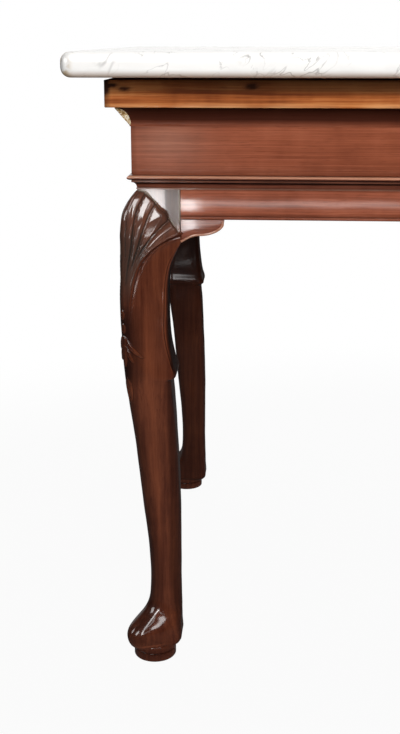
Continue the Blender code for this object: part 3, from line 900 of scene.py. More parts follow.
@dataclass
class Slab:
    """The loose marble slab: rounded front and side edges, square at the wall."""

    edge_radius: float = 0.012
    corner_radius: float = 0.016
    least_radius: float = 0.0005
    edge_steps: int = 9
    corner_steps: int = 8
    spacing: float = 0.008
    rubbed_depth: float = 0.0004
    rubbed_reach: float = 0.02
    rubbed_length: float = 0.09

    def outline(self, inset: float, low: Vector, high: Vector) -> Array:
        """The slab's plan outline from the back left round the front to the back right.

        Args:
            inset: how far the outline lies inside the slab's box.
            low: the lowest corner of that box.
            high: the highest.

        Returns:
            Rows of x and y.
        """
        radius = max(self.corner_radius - inset, self.least_radius)
        radii = (radius, radius)
        left, right, front = low[0] + inset, high[0] - inset, low[1] + inset
        side_count = round((high[1] - low[1]) / self.spacing)
        front_count = round((high[0] - low[0]) / self.spacing)
        side = np.linspace(high[1], front + radius, side_count)
        rows = [(left, y) for y in side]
        rows += arc_points((left + radius, front + radius), radii, (186, 264), self.corner_steps)
        rows += [(x, front) for x in np.linspace(left + radius, right - radius, front_count)]
        rows += arc_points((right - radius, front + radius), radii, (276, 354), self.corner_steps)
        return np.array(rows + [(right, y) for y in side[::-1]])

    def build(self) -> None:
        """Builds and dresses the slab."""
        low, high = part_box("marble_top")
        radius = self.edge_radius
        turns = np.linspace(0.0, math.pi / 2, self.edge_steps)
        edge = [(radius - radius * math.cos(t), radius - radius * math.sin(t)) for t in turns]
        stations = [(inset, low[2] + rise) for inset, rise in edge[::-1]]
        stations += [(inset, high[2] - rise) for inset, rise in edge]
        rings = []
        for inset, level in stations:
            flat = self.outline(inset, low, high)
            rings.append(np.column_stack([flat, np.full(len(flat), level)]))
        grid = self.rubbed(np.array(rings), low, high)
        dress = Dress(WHITE_MARBLE, grid.reshape(-1, 3), sharp_angle=30.0)
        dress.apply("marble_slab", skin("marble_slab", grid), ["marble_top"], Body.MARBLE)

    def rubbed(self, grid: Array, low: Vector, high: Vector) -> Array:
        """Moves the rounded edge inward a little, as hand rubbing leaves it.

        Args:
            grid: rings of points.
            low: the lowest corner of the slab's box.
            high: the highest.

        Returns:
            The moved rings.
        """
        x, y, level = (grid[..., k] for k in range(3))
        reach = np.minimum(x - low[0], high[0] - x)
        near = ease(self.rubbed_reach, 0.0, np.minimum(reach, y - low[1]))
        waves = ripple(x - y, level * 3, self.rubbed_length, 2.0)
        worn = np.maximum(self.rubbed_depth * near * (0.6 + 0.6 * waves), 0.0)
        at_end = reach < self.rubbed_reach
        pull = np.zeros_like(grid)
        pull[..., 0] = np.where(at_end, -np.sign(x) * worn, 0.0)
        pull[..., 1] = np.where(at_end, 0.0, np.sign(high[1] - y) * worn)
        return grid + pull


@dataclass
class CorniceBoard:
    """One of the square-edged boards under the slab, worn low at the front left corner."""

    plan: Plan
    side: Side
    number: int
    first_seed: float = 1.3
    width: float = 0.100
    easing: float = 0.0012
    face_steps: int = 14
    strip: float = 0.040
    step_width: float = 0.001
    plain_drop: float = 0.0030
    corner_drop: float = 0.0043
    corner_reach: float = 0.044
    side_fall: float = 0.034
    side_reach: float = 0.22
    side_end: Pair = (0.60, 0.30)
    # Each knot's distance along the board and its share of the way up
    knots: tuple[Pair, ...] = ((0.152, 0.70), (-0.004, 0.62), (-0.018, 0.74))
    knot_size: Pair = (0.006, 0.0026)
    dark_end: float = 0.009
    arris: float = 0.004
    node: str = field(init=False)
    low: float = field(init=False)
    high: float = field(init=False)
    reach: float = field(init=False)

    def __post_init__(self) -> None:
        """Reads the levels of the solid that the board stands for, and how far it stands out."""
        self.node = f"cornice_board_{self.side.label}"
        self.low, self.high = node_levels(self.node)
        self.reach = self.plan.reach(self.side, self.node)

    def build(self, sweep: RunSweep) -> None:
        """Builds the board.

        Args:
            sweep: the tree that draws its profile.
        """
        seed = self.first_seed + self.number
        run = Run(f"cornice_{self.side.label}", self.side, self.profile(), BOARD_MAHOGANY, seed, (self.node,))
        run.shape, run.grime, run.wear = self.worn_top, self.dirt, self.rubbed
        run.build(self.plan, sweep)

    def profile(self) -> Profile:
        """A board with a step in its top, so that its outer strip can lie lower than the slab's bed.

        Returns:
            Points of outward distance and level, once round the profile.
        """
        outs = (self.reach - self.width, self.reach)
        board = eased_board(outs, (self.low, self.high), self.easing, self.face_steps)
        top, near = self.high - self.easing, self.reach - 2 * self.easing
        step = max(k for k, (out, level) in enumerate(board) if level > top and out > near) + 1
        bed = self.reach - self.strip
        outs = (self.reach - self.strip / 2, bed + self.step_width, bed, bed - self.step_width)
        return board[:step] + [(out, self.high) for out in outs] + board[step:]

    def worn_top(self, along: Array, out: Array, level: Array) -> Array:
        """Lowers the outer strip of the top, most of all at the front left corner.

        Args:
            along: distances along the board.
            out: distances out from the frieze's face.
            level: levels.

        Returns:
            How far each point moves out and up.
        """
        from_corner = along + self.reach
        drop = np.full_like(along, self.plain_drop)
        if self.side is Side.FRONT:
            drop = drop + (self.corner_drop - self.plain_drop) * ease(self.corner_reach, 0.0, from_corner)
        if self.side is Side.LEFT:
            sag = self.corner_drop + self.side_fall * np.minimum(from_corner, self.side_reach)
            drop = drop + (sag - self.plain_drop) * ease(*self.side_end, from_corner)
        on_strip = out > self.reach - self.strip + self.step_width / 2
        on_strip &= level > self.high - 2 * self.easing
        return np.array([np.zeros_like(along), np.where(on_strip, -drop, 0.0)])

    def dirt(self, along: Array, out: Array, level: Array) -> Array:
        """Painted shadow of the slab over the board's upper part, fainter near the start, with small knots
        and a dark end.

        Args:
            along: distances along the board.
            out: distances out from the frieze's face; not used.
            level: levels.

        Returns:
            Each point's grime.
        """
        low, tall = self.low, self.high - self.low
        # Painted shadow of the slab's overhang on the upper part of the board, fainter near its start
        slab_shadow_strength = 0.68 + 0.16 * ease(-0.03, 0.10, along)
        dark = slab_shadow_strength * ease(low + 0.28 * tall, low + 0.58 * tall, level)
        for place, share in self.knots:
            spot = hump(along, place, self.knot_size[0])
            dark = dark + 0.5 * spot * hump(level, low + share * tall, self.knot_size[1])
        return dark + 0.7 * ease(self.dark_end, 0.0, along + self.reach)

    def rubbed(self, along: Array, out: Array, level: Array) -> Array:
        """Wear along the lower arris, where hands and cloths have rubbed it."""
        near = hump(level, self.low, self.arris) * (out > self.reach - self.arris)
        return near * (0.5 + 0.5 * ripple(along, level, 0.11, 5.0))


@dataclass
class Apron:
    """The frieze, its mouldings and the lower rail of a shown side."""

    plan: Plan
    sweep: RunSweep
    side: Side
    number: int
    easing: float = 0.0008
    frieze_steps: int = 10
    frieze_waves: float = 0.00018
    board_thickness: float = 0.018
    dull_place: float = 0.045
    cove_edge: float = 0.0012
    cove_steps: int = 14
    filler_length: float = 0.0018
    filler_spacing: float = 0.0006
    filler_steps: int = 12
    filler_chip: float = 0.0012
    bead_radius: float = 0.0029
    bead_reach: float = 0.0054
    bead_steps: int = 14
    fillet: float = 0.0016
    band: float = 0.0030
    band_out: float = 0.0004
    quirk: float = 0.0003
    hollow_steps: int = 10
    lip_radius: float = 0.0022
    rail_crown: float = 0.0004
    rail_thickness: float = 0.022
    rail_rows: int = 13
    frieze_seed: float = 2.1
    cove_seed: float = 3.7
    bead_seed: float = 5.2
    rail_seed: float = 7.9

    def build(self) -> None:
        """Builds the side's runs."""
        self.frieze()
        self.cove()
        self.bead()
        self.rail()

    def frieze(self) -> None:
        """The tall plain board."""
        side, seed = self.side, self.frieze_seed + self.number
        node = f"frieze_{side.label}"
        low, high = node_levels(node)

        def dirt(along: Array, out: Array, level: Array) -> Array:
            """Paints shade on the board next to the mouldings, and darkens it at its mitre."""
            edges = 0.45 * hump(level, high, 0.010) + 0.40 * hump(level, low, 0.009)
            return edges + 0.35 * ease(0.006, 0.0, along)

        def dulled(along: Array, out: Array, level: Array) -> Array:
            """Paints a pale sheen on the board near its start, standing in for a soft reflection."""
            patch = hump(along, self.dull_place, self.dull_place)
            return 0.30 * patch * hump(level, (low + high) / 2, 0.030)

        profile = eased_board((-self.board_thickness, 0.0), (low, high), self.easing, self.frieze_steps)
        run = Run(f"frieze_board_{side.label}", side, profile, FRIEZE_MAHOGANY, seed, (node,), dirt, dulled)
        run.waves = self.frieze_waves
        run.build(self.plan, self.sweep)

    def cove(self) -> None:
        """The hollow moulding under the cornice, and a fin at the front left mitre with a painted highlight.
        """
        side, seed = self.side, self.cove_seed + self.number
        node = f"cove_{side.label}"
        low, high = node_levels(node)
        reach = self.plan.reach(side, node)
        edge, gap = self.cove_edge, self.plan.gap
        radii = (reach - edge, high - low - 2 * edge)
        hollow = arc_points((reach, low + edge), radii, (180, 90), self.cove_steps)
        profile = [(gap, high), (gap, low), (edge, low), *hollow, (reach, high)]

        def dirt(along: Array, out: Array, level: Array) -> Array:
            """Paints shade in the hollow under the cornice board."""
            return 0.30 + 0.62 * ease(low, low + 0.40 * (high - low), level)

        run = Run(f"cove_run_{side.label}", side, profile, FRIEZE_MAHOGANY, seed, (node,), dirt)
        run.build(self.plan, self.sweep)
        if side is Side.FRONT:
            self.filler(hollow, seed)

    def filler(self, hollow: Profile, seed: float) -> None:
        """A filler fin that bridges the hollow at the front left mitre, pale as a painted highlight.

        Args:
            hollow: the points of the cove's hollow from its foot to its head.
            seed: where its grain starts.
        """
        head, foot = np.array(hollow[-1]), np.array(hollow[0])
        shares = np.linspace(0.04, 0.96, self.filler_steps)
        bridge = [tuple(head + (foot - head) * share) for share in shares]
        edge = [round(out, 6) for out, _ in bridge]
        middle = (head[1] + foot[1]) / 2

        def lump(along: Array, out: Array, level: Array) -> Array:
            """Breaks the fin's outer edge up in lumps."""
            near = np.isin(np.round(out, 6), edge) * ease(0.016, 0.006, np.abs(level - middle))
            return np.array([self.filler_chip * ripple(level, along, 0.004, 3.0) * near, 0 * along])

        run = Run("cove_mitre_filler", Side.FRONT, [*hollow, *bridge], MITRE_FILLER_HIGHLIGHT, seed, mitres=(1.0, -1.0))
        run.trim = (0.0, self.plan.length(Side.FRONT) - self.filler_length)
        run.shape = lump
        run.build(self.plan, RunSweep(spacing=self.filler_spacing))

    def bead(self) -> None:
        """The bead, fillet and small hollow over the lower rail."""
        side, seed = self.side, self.bead_seed + self.number
        node = f"bead_moulding_{side.label}"
        low, high = node_levels(node)
        radius, band_out = self.bead_radius, self.band_out
        oval = (self.bead_reach, radius)
        round_edge = arc_points((band_out, high - radius), oval, (-90, 90), self.bead_steps)
        band_low = high - 2 * radius - self.band
        band_middle = band_low + self.band / 2
        hollow_low = low + self.fillet
        foot_out = -self.plan.setback + self.fillet / 2
        radii = (band_out + self.plan.setback, band_low - hollow_low)
        hollow = arc_points((band_out, hollow_low), radii, (180, 90), self.hollow_steps)
        profile = [(-self.board_thickness, low), (foot_out, low), (foot_out, hollow_low), *hollow]
        profile += [(band_out, band_middle), (band_out, high - 2 * radius - self.quirk), *round_edge]
        profile.append((-self.board_thickness, high))

        def dirt(along: Array, out: Array, level: Array) -> Array:
            """Paints shade on the bead's underside, in the quirk below it and at the head of the hollow."""
            dark = 0.8 * hump(level, high - 1.75 * radius, 0.0016) + 0.4 * hump(level, band_middle, 0.0020)
            return dark + hump(level, band_low - 0.0014, 0.0016) + 0.60 * ease(band_low, hollow_low, level)

        def rubbed(along: Array, out: Array, level: Array) -> Array:
            """Paints highlights on the bead's top, the band and the foot's arris."""
            top = hump(level, high - 0.45 * radius, 0.0013)
            return top + 0.15 * hump(level, band_middle, 0.0010) + 0.7 * hump(level, low, 0.001)

        run = Run(f"bead_run_{side.label}", side, profile, MOULDING_MAHOGANY, seed, (node,), dirt, rubbed)
        run.build(self.plan, self.sweep)

    def rail(self) -> None:
        """A lower rail between two posts, slightly crowned, with a half-round lip along its foot."""
        side, seed = self.side, self.rail_seed + self.number
        node = f"lower_rail_{side.label}"
        low, high = node_levels(node)
        face, lip = -self.plan.setback, self.lip_radius
        lip_top = low + 2 * lip
        profile = [(face - self.rail_thickness, low), (face - self.rail_thickness, high)]
        for share in np.linspace(1.0, 0.0, self.rail_rows):
            crown = self.rail_crown * (2 * share - 1) ** 2
            profile.append((face - crown, lip_top + share * (high - lip_top)))
        profile += arc_points((face - self.rail_crown, low + lip), (lip, lip), (70, -90), 8)

        def dirt(along: Array, out: Array, level: Array) -> Array:
            """Paints shade on the rail along its lip and under the moulding."""
            line = 0.8 * hump(level, low + 2.2 * lip, 0.0012) + 0.35 * ease(lip_top, low + lip, level)
            return line + 0.5 * hump(level, high, 0.0016)

        inner = self.plan.post_inner + self.plan.block_extra
        run = Run(f"rail_{side.label}", side, profile, RAIL_MAHOGANY, seed, (node,), dirt)
        run.mitres = (0.0, 0.0)
        run.trim = (inner, inner)
        run.build(self.plan, self.sweep)


@dataclass(frozen=True)
class ShellCarving:
    """The shell on a front knee, drawn on the unrolled face beside the arris.

    Each spoke is a curve through four spots from its root to its rim, as distances from the arris and
    levels. The first lies on the arris, the next five part the lobes, and the last three are the
    shell's border, the thin rib below it and the plain ground. Rises and falls are where a smooth
    step starts and ends.
    """

    spokes_mm: Rows = (
        (0, 502, 0, 562, 0, 620, 0, 677.5),
        (1.5, 502, 2.8, 562, 5.6, 620, 4.5, 676.5),
        (3.5, 502, 7, 562, 15.5, 617, 16, 673),
        (4.5, 502, 10, 562, 24.3, 610, 36.5, 659.5),
        (5.5, 501, 12.3, 562, 29.5, 604, 61, 639.5),
        (6, 500, 13, 560, 30, 600, 67, 631.5),
        (6.5, 497, 13.8, 556, 29.5, 595, 74, 622),
        (8.5, 489, 18, 541, 33, 588, 74, 615),
        (11, 484, 23, 528, 42, 574, 74, 603),
    )
    border: int = 6
    flat_lobe: int = 3
    relief_mm: float = 3.4
    sink_mm: float = 1.5
    groove_mm: float = 1.6
    ridge_mm: float = 0.6
    quirk_mm: float = 0.5
    arris_fall_mm: float = 0.7
    hollow_mm: float = 1.3
    rib_mm: float = 1.4
    rib_sink_mm: float = 0.5
    # Heights of the border, the channel beside it and the thin rib, with their half widths
    edge_mm: tuple[Pair, ...] = ((1.2, 1.3), (-1.0, 1.5), (0.9, 1.3))
    turn: float = 0.015
    crest: float = 0.55
    least_lean: float = 0.08
    slope_limits: Pair = (0.05, 0.45)
    lean_rise: Pair = (0.70, 0.88)
    root_rise: Pair = (0.05, 0.40)
    width_rise_mm: Pair = (2.5, 8.0)
    rim_fall: Pair = (-0.003, 0.007)
    search: tuple[int, int] = (161, 140)
    overrun: float = 1.08
    passes: int = 2
    nudge: float = 0.01
    # The most that one pass of the search moves by, in spokes and in shares
    stride: Pair = (0.06, 0.012)

    def spot(self, spoke: Array, share: Array) -> Array:
        """Where a share of the way along a spoke lies, in millimetres.

        Args:
            spoke: spoke numbers, with fractions between them.
            share: shares of the way from root to rim.

        Returns:
            Rows of distance from the arris and level.
        """
        rows = np.array(self.spokes_mm)
        first = np.clip(spoke.astype(int), 0, len(rows) - 2)
        part = (spoke - first)[:, None]
        row = rows[first] * (1 - part) + rows[first + 1] * part
        t = share[:, None]
        weights = (
            (1 - 3 * t) * (2 - 3 * t) * (1 - t) / 2,
            9 * t * (2 - 3 * t) * (1 - t) / 2,
            9 * t * (3 * t - 1) * (1 - t) / 2,
            t * (3 * t - 1) * (3 * t - 2) / 2,
        )
        return sum(weight * row[:, 2 * k : 2 * k + 2] for k, weight in enumerate(weights))

    def across(self, spoke: Array, share: Array) -> Array:
        """How far and which way a spot moves from one spoke to the next.

        Args:
            spoke: spoke numbers.
            share: shares of the way from root to rim.

        Returns:
            Rows of two distances, in millimetres.
        """
        ahead = np.minimum(spoke + self.nudge, len(self.spokes_mm) - 1)
        behind = np.maximum(spoke - self.nudge, 0)
        return (self.spot(ahead, share) - self.spot(behind, share)) / (2 * self.nudge)

    def locate(self, spots: Array) -> tuple[Array, Array, Array]:
        """Finds the spoke and the share of each spot on the face.

        Args:
            spots: rows of distance from the arris and level, in millimetres.

        Returns:
            Spoke numbers, shares, and how many millimetres one spoke spans there.
        """
        last = len(self.spokes_mm) - 1
        lines = (np.linspace(0, last, self.search[0]), np.linspace(0.0, self.overrun, self.search[1]))
        spokes, shares = (grid.ravel() for grid in np.meshgrid(*lines))
        known = self.spot(spokes, shares)
        tree = KDTree(len(known))
        for number, (reach, level) in enumerate(known):
            tree.insert((reach, level, 0.0), number)
        tree.balance()
        nearest = [tree.find((reach, level, 0.0))[1] for reach, level in spots]
        u, t = spokes[nearest], shares[nearest]
        for _ in range(self.passes):
            miss = spots - self.spot(u, t)
            across = self.across(u, t)
            forward = (self.spot(u, t + self.nudge) - self.spot(u, t - self.nudge)) / (2 * self.nudge)
            scale = across[:, 0] * forward[:, 1] - across[:, 1] * forward[:, 0]
            scale = np.where(np.abs(scale) < 1e-6, 1e-6, scale)
            step_u = (miss[:, 0] * forward[:, 1] - miss[:, 1] * forward[:, 0]) / scale
            step_t = (across[:, 0] * miss[:, 1] - across[:, 1] * miss[:, 0]) / scale
            u = np.clip(u + np.clip(step_u, -self.stride[0], self.stride[0]), 0, last)
            t = np.clip(t + np.clip(step_t, -self.stride[1], self.stride[1]), 0.0, self.overrun)
        return u, t, np.linalg.norm(self.across(u, t), axis=1)

    def relief(self, reach: Array, level: Array, slope: Array, recess: Array) -> dict[str, Array]:
        """The shell's height over the knee, its grime and painted shadow, its dust, and where the flat block
        begins.

        Each lobe rises from a thin ridge, as steeply as the knee falls back, so that it faces the
        front; past its crest it falls into a groove before the next ridge. The last but one is a
        hollow and the last a round rib. No lobe stands out further than the arris.

        Args:
            reach: distances from the arris, in millimetres.
            level: levels, in millimetres.
            slope: how fast the knee falls back with the distance from the arris.
            recess: how far the knee lies behind the arris, in millimetres.

        Returns:
            Height in millimetres, and grime with painted shadow, dust and block from 0 to 1, by name.
        """
        spoke, share, width = self.locate(np.column_stack([reach.ravel(), level.ravel()]))
        number = np.minimum(np.floor(spoke), self.border - 1)
        part = np.clip(spoke - number, 0.0, 1.0)
        before, after = part * width, (1 - part) * width
        arch = 1 - (2 * part - 1) ** 2
        fan = (spoke < self.border) * 1.0
        rise = ease(*self.root_rise, share)
        carved = rise * ease(*self.width_rise_mm, width) * fan

        lean = self.least_lean + (1 - self.least_lean) * ease(*self.lean_rise, share)
        lean = np.clip(slope.ravel(), *self.slope_limits) * lean + self.turn
        past = np.clip((part - self.crest) / (1 - self.crest), 0.0, 1.0)
        lobe = lean * np.minimum(before, self.crest * width) * (1 - past**2)
        lobe = np.where(number == 0, -self.arris_fall_mm * part**4, lobe)
        lobe = np.where(number == self.border - 2, -self.hollow_mm * arch, lobe)
        rib = self.rib_mm * np.sqrt(np.clip(arch, 0.0, 1.0)) - self.rib_sink_mm
        lobe = carved * np.where(number == self.border - 1, rib, lobe)
        groove = np.where(number == 0, hump(after, 0.0, 1.4), hump(after, 1.7, 1.0))
        groove = groove * (number < self.border - 2)
        quirk = hump(before, 1.3, 0.5) * (number > 1)
        ridge = (hump(before, 0.0, 0.9) * (number > 1) + hump(after, 0.0, 0.9)) * (number > 0)

        lift = self.relief_mm * np.sin(np.pi / 2 * np.minimum(share, 1.0)) - self.sink_mm * (1 - share)
        lift = np.maximum(lift, 0.0) * ease(self.border + 1.5, self.border - 0.1, spoke)
        height = lobe + np.minimum(lift, np.maximum(recess.ravel() - lobe, 0.0))
        cuts = self.ridge_mm * ridge - self.groove_mm * groove - self.quirk_mm * quirk
        height = height + carved * cuts
        past_border = (spoke - self.border) * width
        channel = (spoke - self.border - 0.5) * width
        past_rib = (spoke - self.border - 1) * width
        for away, (tall, half) in zip((past_border, channel, past_rib), self.edge_mm):
            height = height + rise * tall * hump(away, 0, half)

        end = 1.0 + np.where(number == self.flat_lobe, -0.010, 0.003) * arch * fan
        beyond = ease(*self.rim_fall, share - end) * fan
        # Grime in the grooves and quirks; painted shadow in the channel beside the border and along the rim's
        # foot
        grime = carved * (1 - beyond) * (0.85 * groove + 0.5 * quirk) + 0.7 * hump(channel, 0, 1.6) * rise
        grime = grime + 0.5 * hump(share - end, -0.001, 0.004) * fan
        grime = grime + 0.55 * ease(0.84, 0.62, share) * rise * fan
        dust = np.maximum(0.9 * hump(share - end, 0.008, 0.006), 0.08 * rise) * fan
        values = {"height": height * (1 - beyond), "grime": grime, "dust": dust, "block": beyond}
        return {name: value.reshape(reach.shape) for name, value in values.items()}


@dataclass(frozen=True)
class HuskCarving:
    """The husk that hangs under the shell: petals drawn on the unrolled face beside the arris.

    Each petal is a curve from its root by its bend to its tip, with its half width and its height.
    """

    petals_mm: Rows = (
        (3, 486, 9, 470, 26, 459, 3.2, 2.3),
        (2.5, 475, 7, 462, 12, 453, 3, 2),
        (0, 474, 0, 463, 0, 446, 4.6, 1.8),
        (0, 486, 0, 481, 0, 474, 5.5, 1.4),
        (0, 503, 0, 498, 0, 493, 5, 1.3),
        (0, 521.5, 0, 517, 0, 512, 4.4, 1.1),
        (0, 428, 5.5, 421, 2, 396, 3.4, 1.4),
    )
    steps: int = 48

    def relief(self, reach: Array, level: Array) -> dict[str, Array]:
        """The husk's height over the knee, the grime round it and painted highlights on its crests.

        Args:
            reach: distances from the arris, in millimetres.
            level: levels, in millimetres.

        Returns:
            Height in millimetres, and grime and painted highlights from 0 to 1, by name.
        """
        height, grime, wear = (np.zeros_like(reach) for _ in range(3))
        t = np.linspace(0.0, 1.0, self.steps)[:, None]
        for petal in self.petals_mm:
            root, bend, tip = (np.array(petal[k : k + 2]) for k in (0, 2, 4))
            half, rise = petal[6:8]
            curve = root * (1 - t) ** 2 + bend * 2 * t * (1 - t) + tip * t**2
            apart = np.hypot(reach[..., None] - curve[:, 0], level[..., None] - curve[:, 1])
            widths = half * np.sqrt(np.clip(np.sin(np.pi * (0.12 + 0.88 * t[:, 0])), 0.02, 1.0))
            nearest = (apart / widths).min(axis=-1)
            crown = rise * np.sqrt(np.clip(1 - nearest**2, 0.0, 1.0))
            groove = 0.35 * rise * hump(nearest, 0.0, 0.22)
            height = np.maximum(height, crown - groove * (crown > 0))
            grime = np.maximum(grime, 0.75 * hump(nearest, 1.12, 0.22))
            # A painted highlight on each petal's crest
            wear = np.maximum(wear, 0.3 * hump(nearest, 0.55, 0.30))
        return {"height": height, "grime": grime * (height < 0.4), "wear": wear}


@dataclass
class LegForm:
    """Sections of a cabriole leg in its corner's own frame, measured inward from the frieze's faces.

    Each row gives a level, the outer, inner and side lines, and the arris and back radii. Outer and
    side lines are measured from the post's outer faces, inner lines from its inner faces. Knee and
    lip levels are measured down from the shoulder, foot levels up from the top of the pad, and shank
    levels are shares of the way from the lip to the ankle.
    """

    plan: Plan
    shoulder: float
    post_top: float
    post_step: float = 0.0183
    post_easing: float = 0.0015
    pad_radius: float = 0.0304
    pad_inset: float = 0.0145
    pad_height: float = 0.0225
    groove_height: float = 0.0125
    groove_width: float = 0.0024
    groove_depth: float = 0.0016
    pad_easing: float = 0.0014
    groove_rows: int = 9
    corner_steps: int = 25
    corner_passes: int = 8
    corner_share: float = 0.49
    knee: Rows = (
        (0.012, -0.0095, 0.0045, 0.0, 0.006, 0.0015),
        (0.03, -0.0182, 0.0045, 0.0, 0.01, 0.0015),
        (0.055, -0.022, 0.0045, 0.0, 0.013, 0.002),
        (0.07, -0.0221, 0.004, -0.0008, 0.014, 0.0026),
        (0.078, -0.0222, -0.0002, -0.0015, 0.014, 0.003),
        (0.1, -0.0226, -0.009, -0.0035, 0.014, 0.005),
        (0.155, -0.0236, -0.0128, -0.009, 0.014, 0.006),
        (0.2, -0.0222, -0.0109, -0.0145, 0.014, 0.007),
    )
    lip: Rows = (
        (0.23, -0.0208, -0.0059, -0.017, 0.014, 0.0085),
        (0.245, -0.0197, -0.0018, -0.0176, 0.014, 0.0095),
        (0.25, -0.0193, -0.0036, -0.0177, 0.014, 0.0095),
        (0.253, -0.019, -0.0084, -0.0176, 0.014, 0.011),
    )
    shank: Rows = (
        (0.1, -0.0157, -0.0063, -0.0152, 0.015, 0.013),
        (0.3, -0.0087, -0.003, -0.0082, 0.017, 0.016),
        (0.55, -0.002, 0.0003, -0.0016, 0.019, 0.019),
    )
    foot: Rows = (
        (0.0975, 0.0082, 0.0011, 0.0085, 0.0205, 0.0205),
        (0.0765, 0.0075, 0.0013, 0.009, 0.02, 0.02),
        (0.0595, 0.0058, 0.0015, 0.009, 0.019, 0.019),
        (0.0445, -0.001, 0.0016, 0.0072, 0.018, 0.018),
        (0.0315, -0.0142, 0.0016, 0.0032, 0.017, 0.016),
        (0.0185, -0.0226, 0.0018, -0.0005, 0.017, 0.0145),
        (0.0075, -0.0219, 0.003, -0.002, 0.017, 0.0135),
        (0.0007, -0.0194, -0.0005, -0.003, 0.017, 0.015),
    )

    def dropped(self, drop: float) -> "LegForm":
        """The same leg with its lip lower down."""
        return replace(self, lip=tuple((depth + drop, *sizes) for depth, *sizes in self.lip))

    def sections(self) -> tuple[Array, Array]:
        """All sections from the foot to the shoulder.

        Returns:
            Their levels, and rows of their sizes.
        """
        lip_low = self.shoulder - self.lip[-1][0]
        ankle = self.pad_height + self.foot[0][0]
        rows = [(self.pad_height + rise, *sizes) for rise, *sizes in self.foot]
        rows += [(lip_low + (ankle - lip_low) * share, *sizes) for share, *sizes in self.shank]
        rows += [(self.shoulder - depth, *sizes) for depth, *sizes in self.lip + self.knee]
        rows.append((self.shoulder, 0.0, self.plan.block_extra, 0.0, self.post_easing, self.post_easing))
        rows.sort()
        table = np.array(rows)
        setback, inner = self.plan.setback, self.plan.post_inner
        return table[:, 0], table[:, 1:] + (setback, inner, setback, 0.0, 0.0)

    @staticmethod
    def between(levels: Array, values: Array, level: float) -> Array:
        """Cubic interpolation through rows of values that never overshoots a turning point.

        Args:
            levels: the rows' levels, in order.
            values: the rows.
            level: the level that is asked for.

        Returns:
            The values there.
        """
        steps = np.diff(values, axis=0) / np.diff(levels)[:, None]
        slopes = np.vstack([steps[:1], (steps[:-1] + steps[1:]) / 2, steps[-1:]])
        slopes[1:-1][steps[:-1] * steps[1:] <= 0] = 0.0
        k = int(np.clip(np.searchsorted(levels, level) - 1, 0, len(levels) - 2))
        span = levels[k + 1] - levels[k]
        t = (level - levels[k]) / span
        start = values[k] * (2 * t**3 - 3 * t**2 + 1) + slopes[k] * span * (t**3 - 2 * t**2 + t)
        return start + values[k + 1] * (3 * t**2 - 2 * t**3) + slopes[k + 1] * span * (t**3 - t**2)

    def outline(self, outer: float, inner: float, side: float, arris: float, back: float) -> Array:
        """One section: a kite with its arris on the outer corner and every corner rounded.

        Args:
            outer: where the rounded arris reaches.
            inner: the line of the inner faces.
            side: the line where the outer faces meet the inner ones.
            arris: the radius of the arris.
            back: the radius of the other corners.

        Returns:
            Points once round the section, from the start of the arris.
        """
        corner = outer
        for _ in range(self.corner_passes):
            lean = math.atan2(side - corner, inner - corner)
            corner = outer - arris * (1 / (math.sqrt(2) * math.sin(math.pi / 4 - lean)) - 1)
        points = np.array([(corner, corner), (inner, side), (inner, inner), (side, inner)])
        outline = []
        for k, wanted in enumerate((arris, back, back, back)):
            here = points[k]
            before = points[k - 1] - here
            after = points[(k + 1) % 4] - here
            reach = self.corner_share * min(np.linalg.norm(before), np.linalg.norm(after))
            before = before / np.linalg.norm(before)
            after = after / np.linalg.norm(after)
            half = math.acos(float(before @ after)) / 2
            radius = min(wanted, reach * math.tan(half))
            bisector = (before + after) / np.linalg.norm(before + after)
            centre = here + bisector * radius / math.sin(half)
            first = here + before * radius / math.tan(half) - centre
            turn = np.linspace(0.0, math.pi - 2 * half, self.corner_steps)
            x = first[0] * np.cos(turn) - first[1] * np.sin(turn)
            y = first[0] * np.sin(turn) + first[1] * np.cos(turn)
            outline.append(np.column_stack([centre[0] + x, centre[1] + y]))
        return np.vstack(outline)

    def half_ring(self, outline: Array, counts: tuple[int, int]) -> tuple[Array, Array, float]:
        """Spreads points along half a section, from its arris to the middle of its back corner.

        Args:
            outline: points once round the section.
            counts: how many points lie on the outer and on the inner face.

        Returns:
            The points, their distances from the arris, and the length of the outer face.
        """
        steps = self.corner_steps
        line = outline[steps // 2 : 2 * steps + steps // 2 + 1]
        lengths = np.concatenate([[0.0], np.cumsum(np.linalg.norm(np.diff(line, axis=0), axis=1))])
        face_end = lengths[steps - steps // 2]
        turn = lengths[steps]
        on_face = np.linspace(0.0, turn, counts[0], endpoint=False)
        spread = np.concatenate([on_face, np.linspace(turn, lengths[-1], counts[1])])
        spots = np.column_stack([np.interp(spread, lengths, line[:, k]) for k in (0, 1)])
        return spots, spread, float(face_end)

    def pad_stations(self) -> Profile:
        """The turned pad from the floor up.

        Returns:
            Levels and radii.
        """
        easing, radius = self.pad_easing, self.pad_radius
        radii, out = (easing, easing), radius - easing
        rows = arc_points((out, easing), radii, (-90, 0), 4)
        for turn in np.linspace(-1.0, 1.0, self.groove_rows):
            depth = self.groove_depth * math.sqrt(max(0.0, 1 - turn**2))
            rows.append((radius - depth, self.groove_height + self.groove_width / 2 * turn))
        rows += arc_points((out, self.pad_height - easing), radii, (0, 90), 4)
        return [(level, reach) for reach, level in rows]


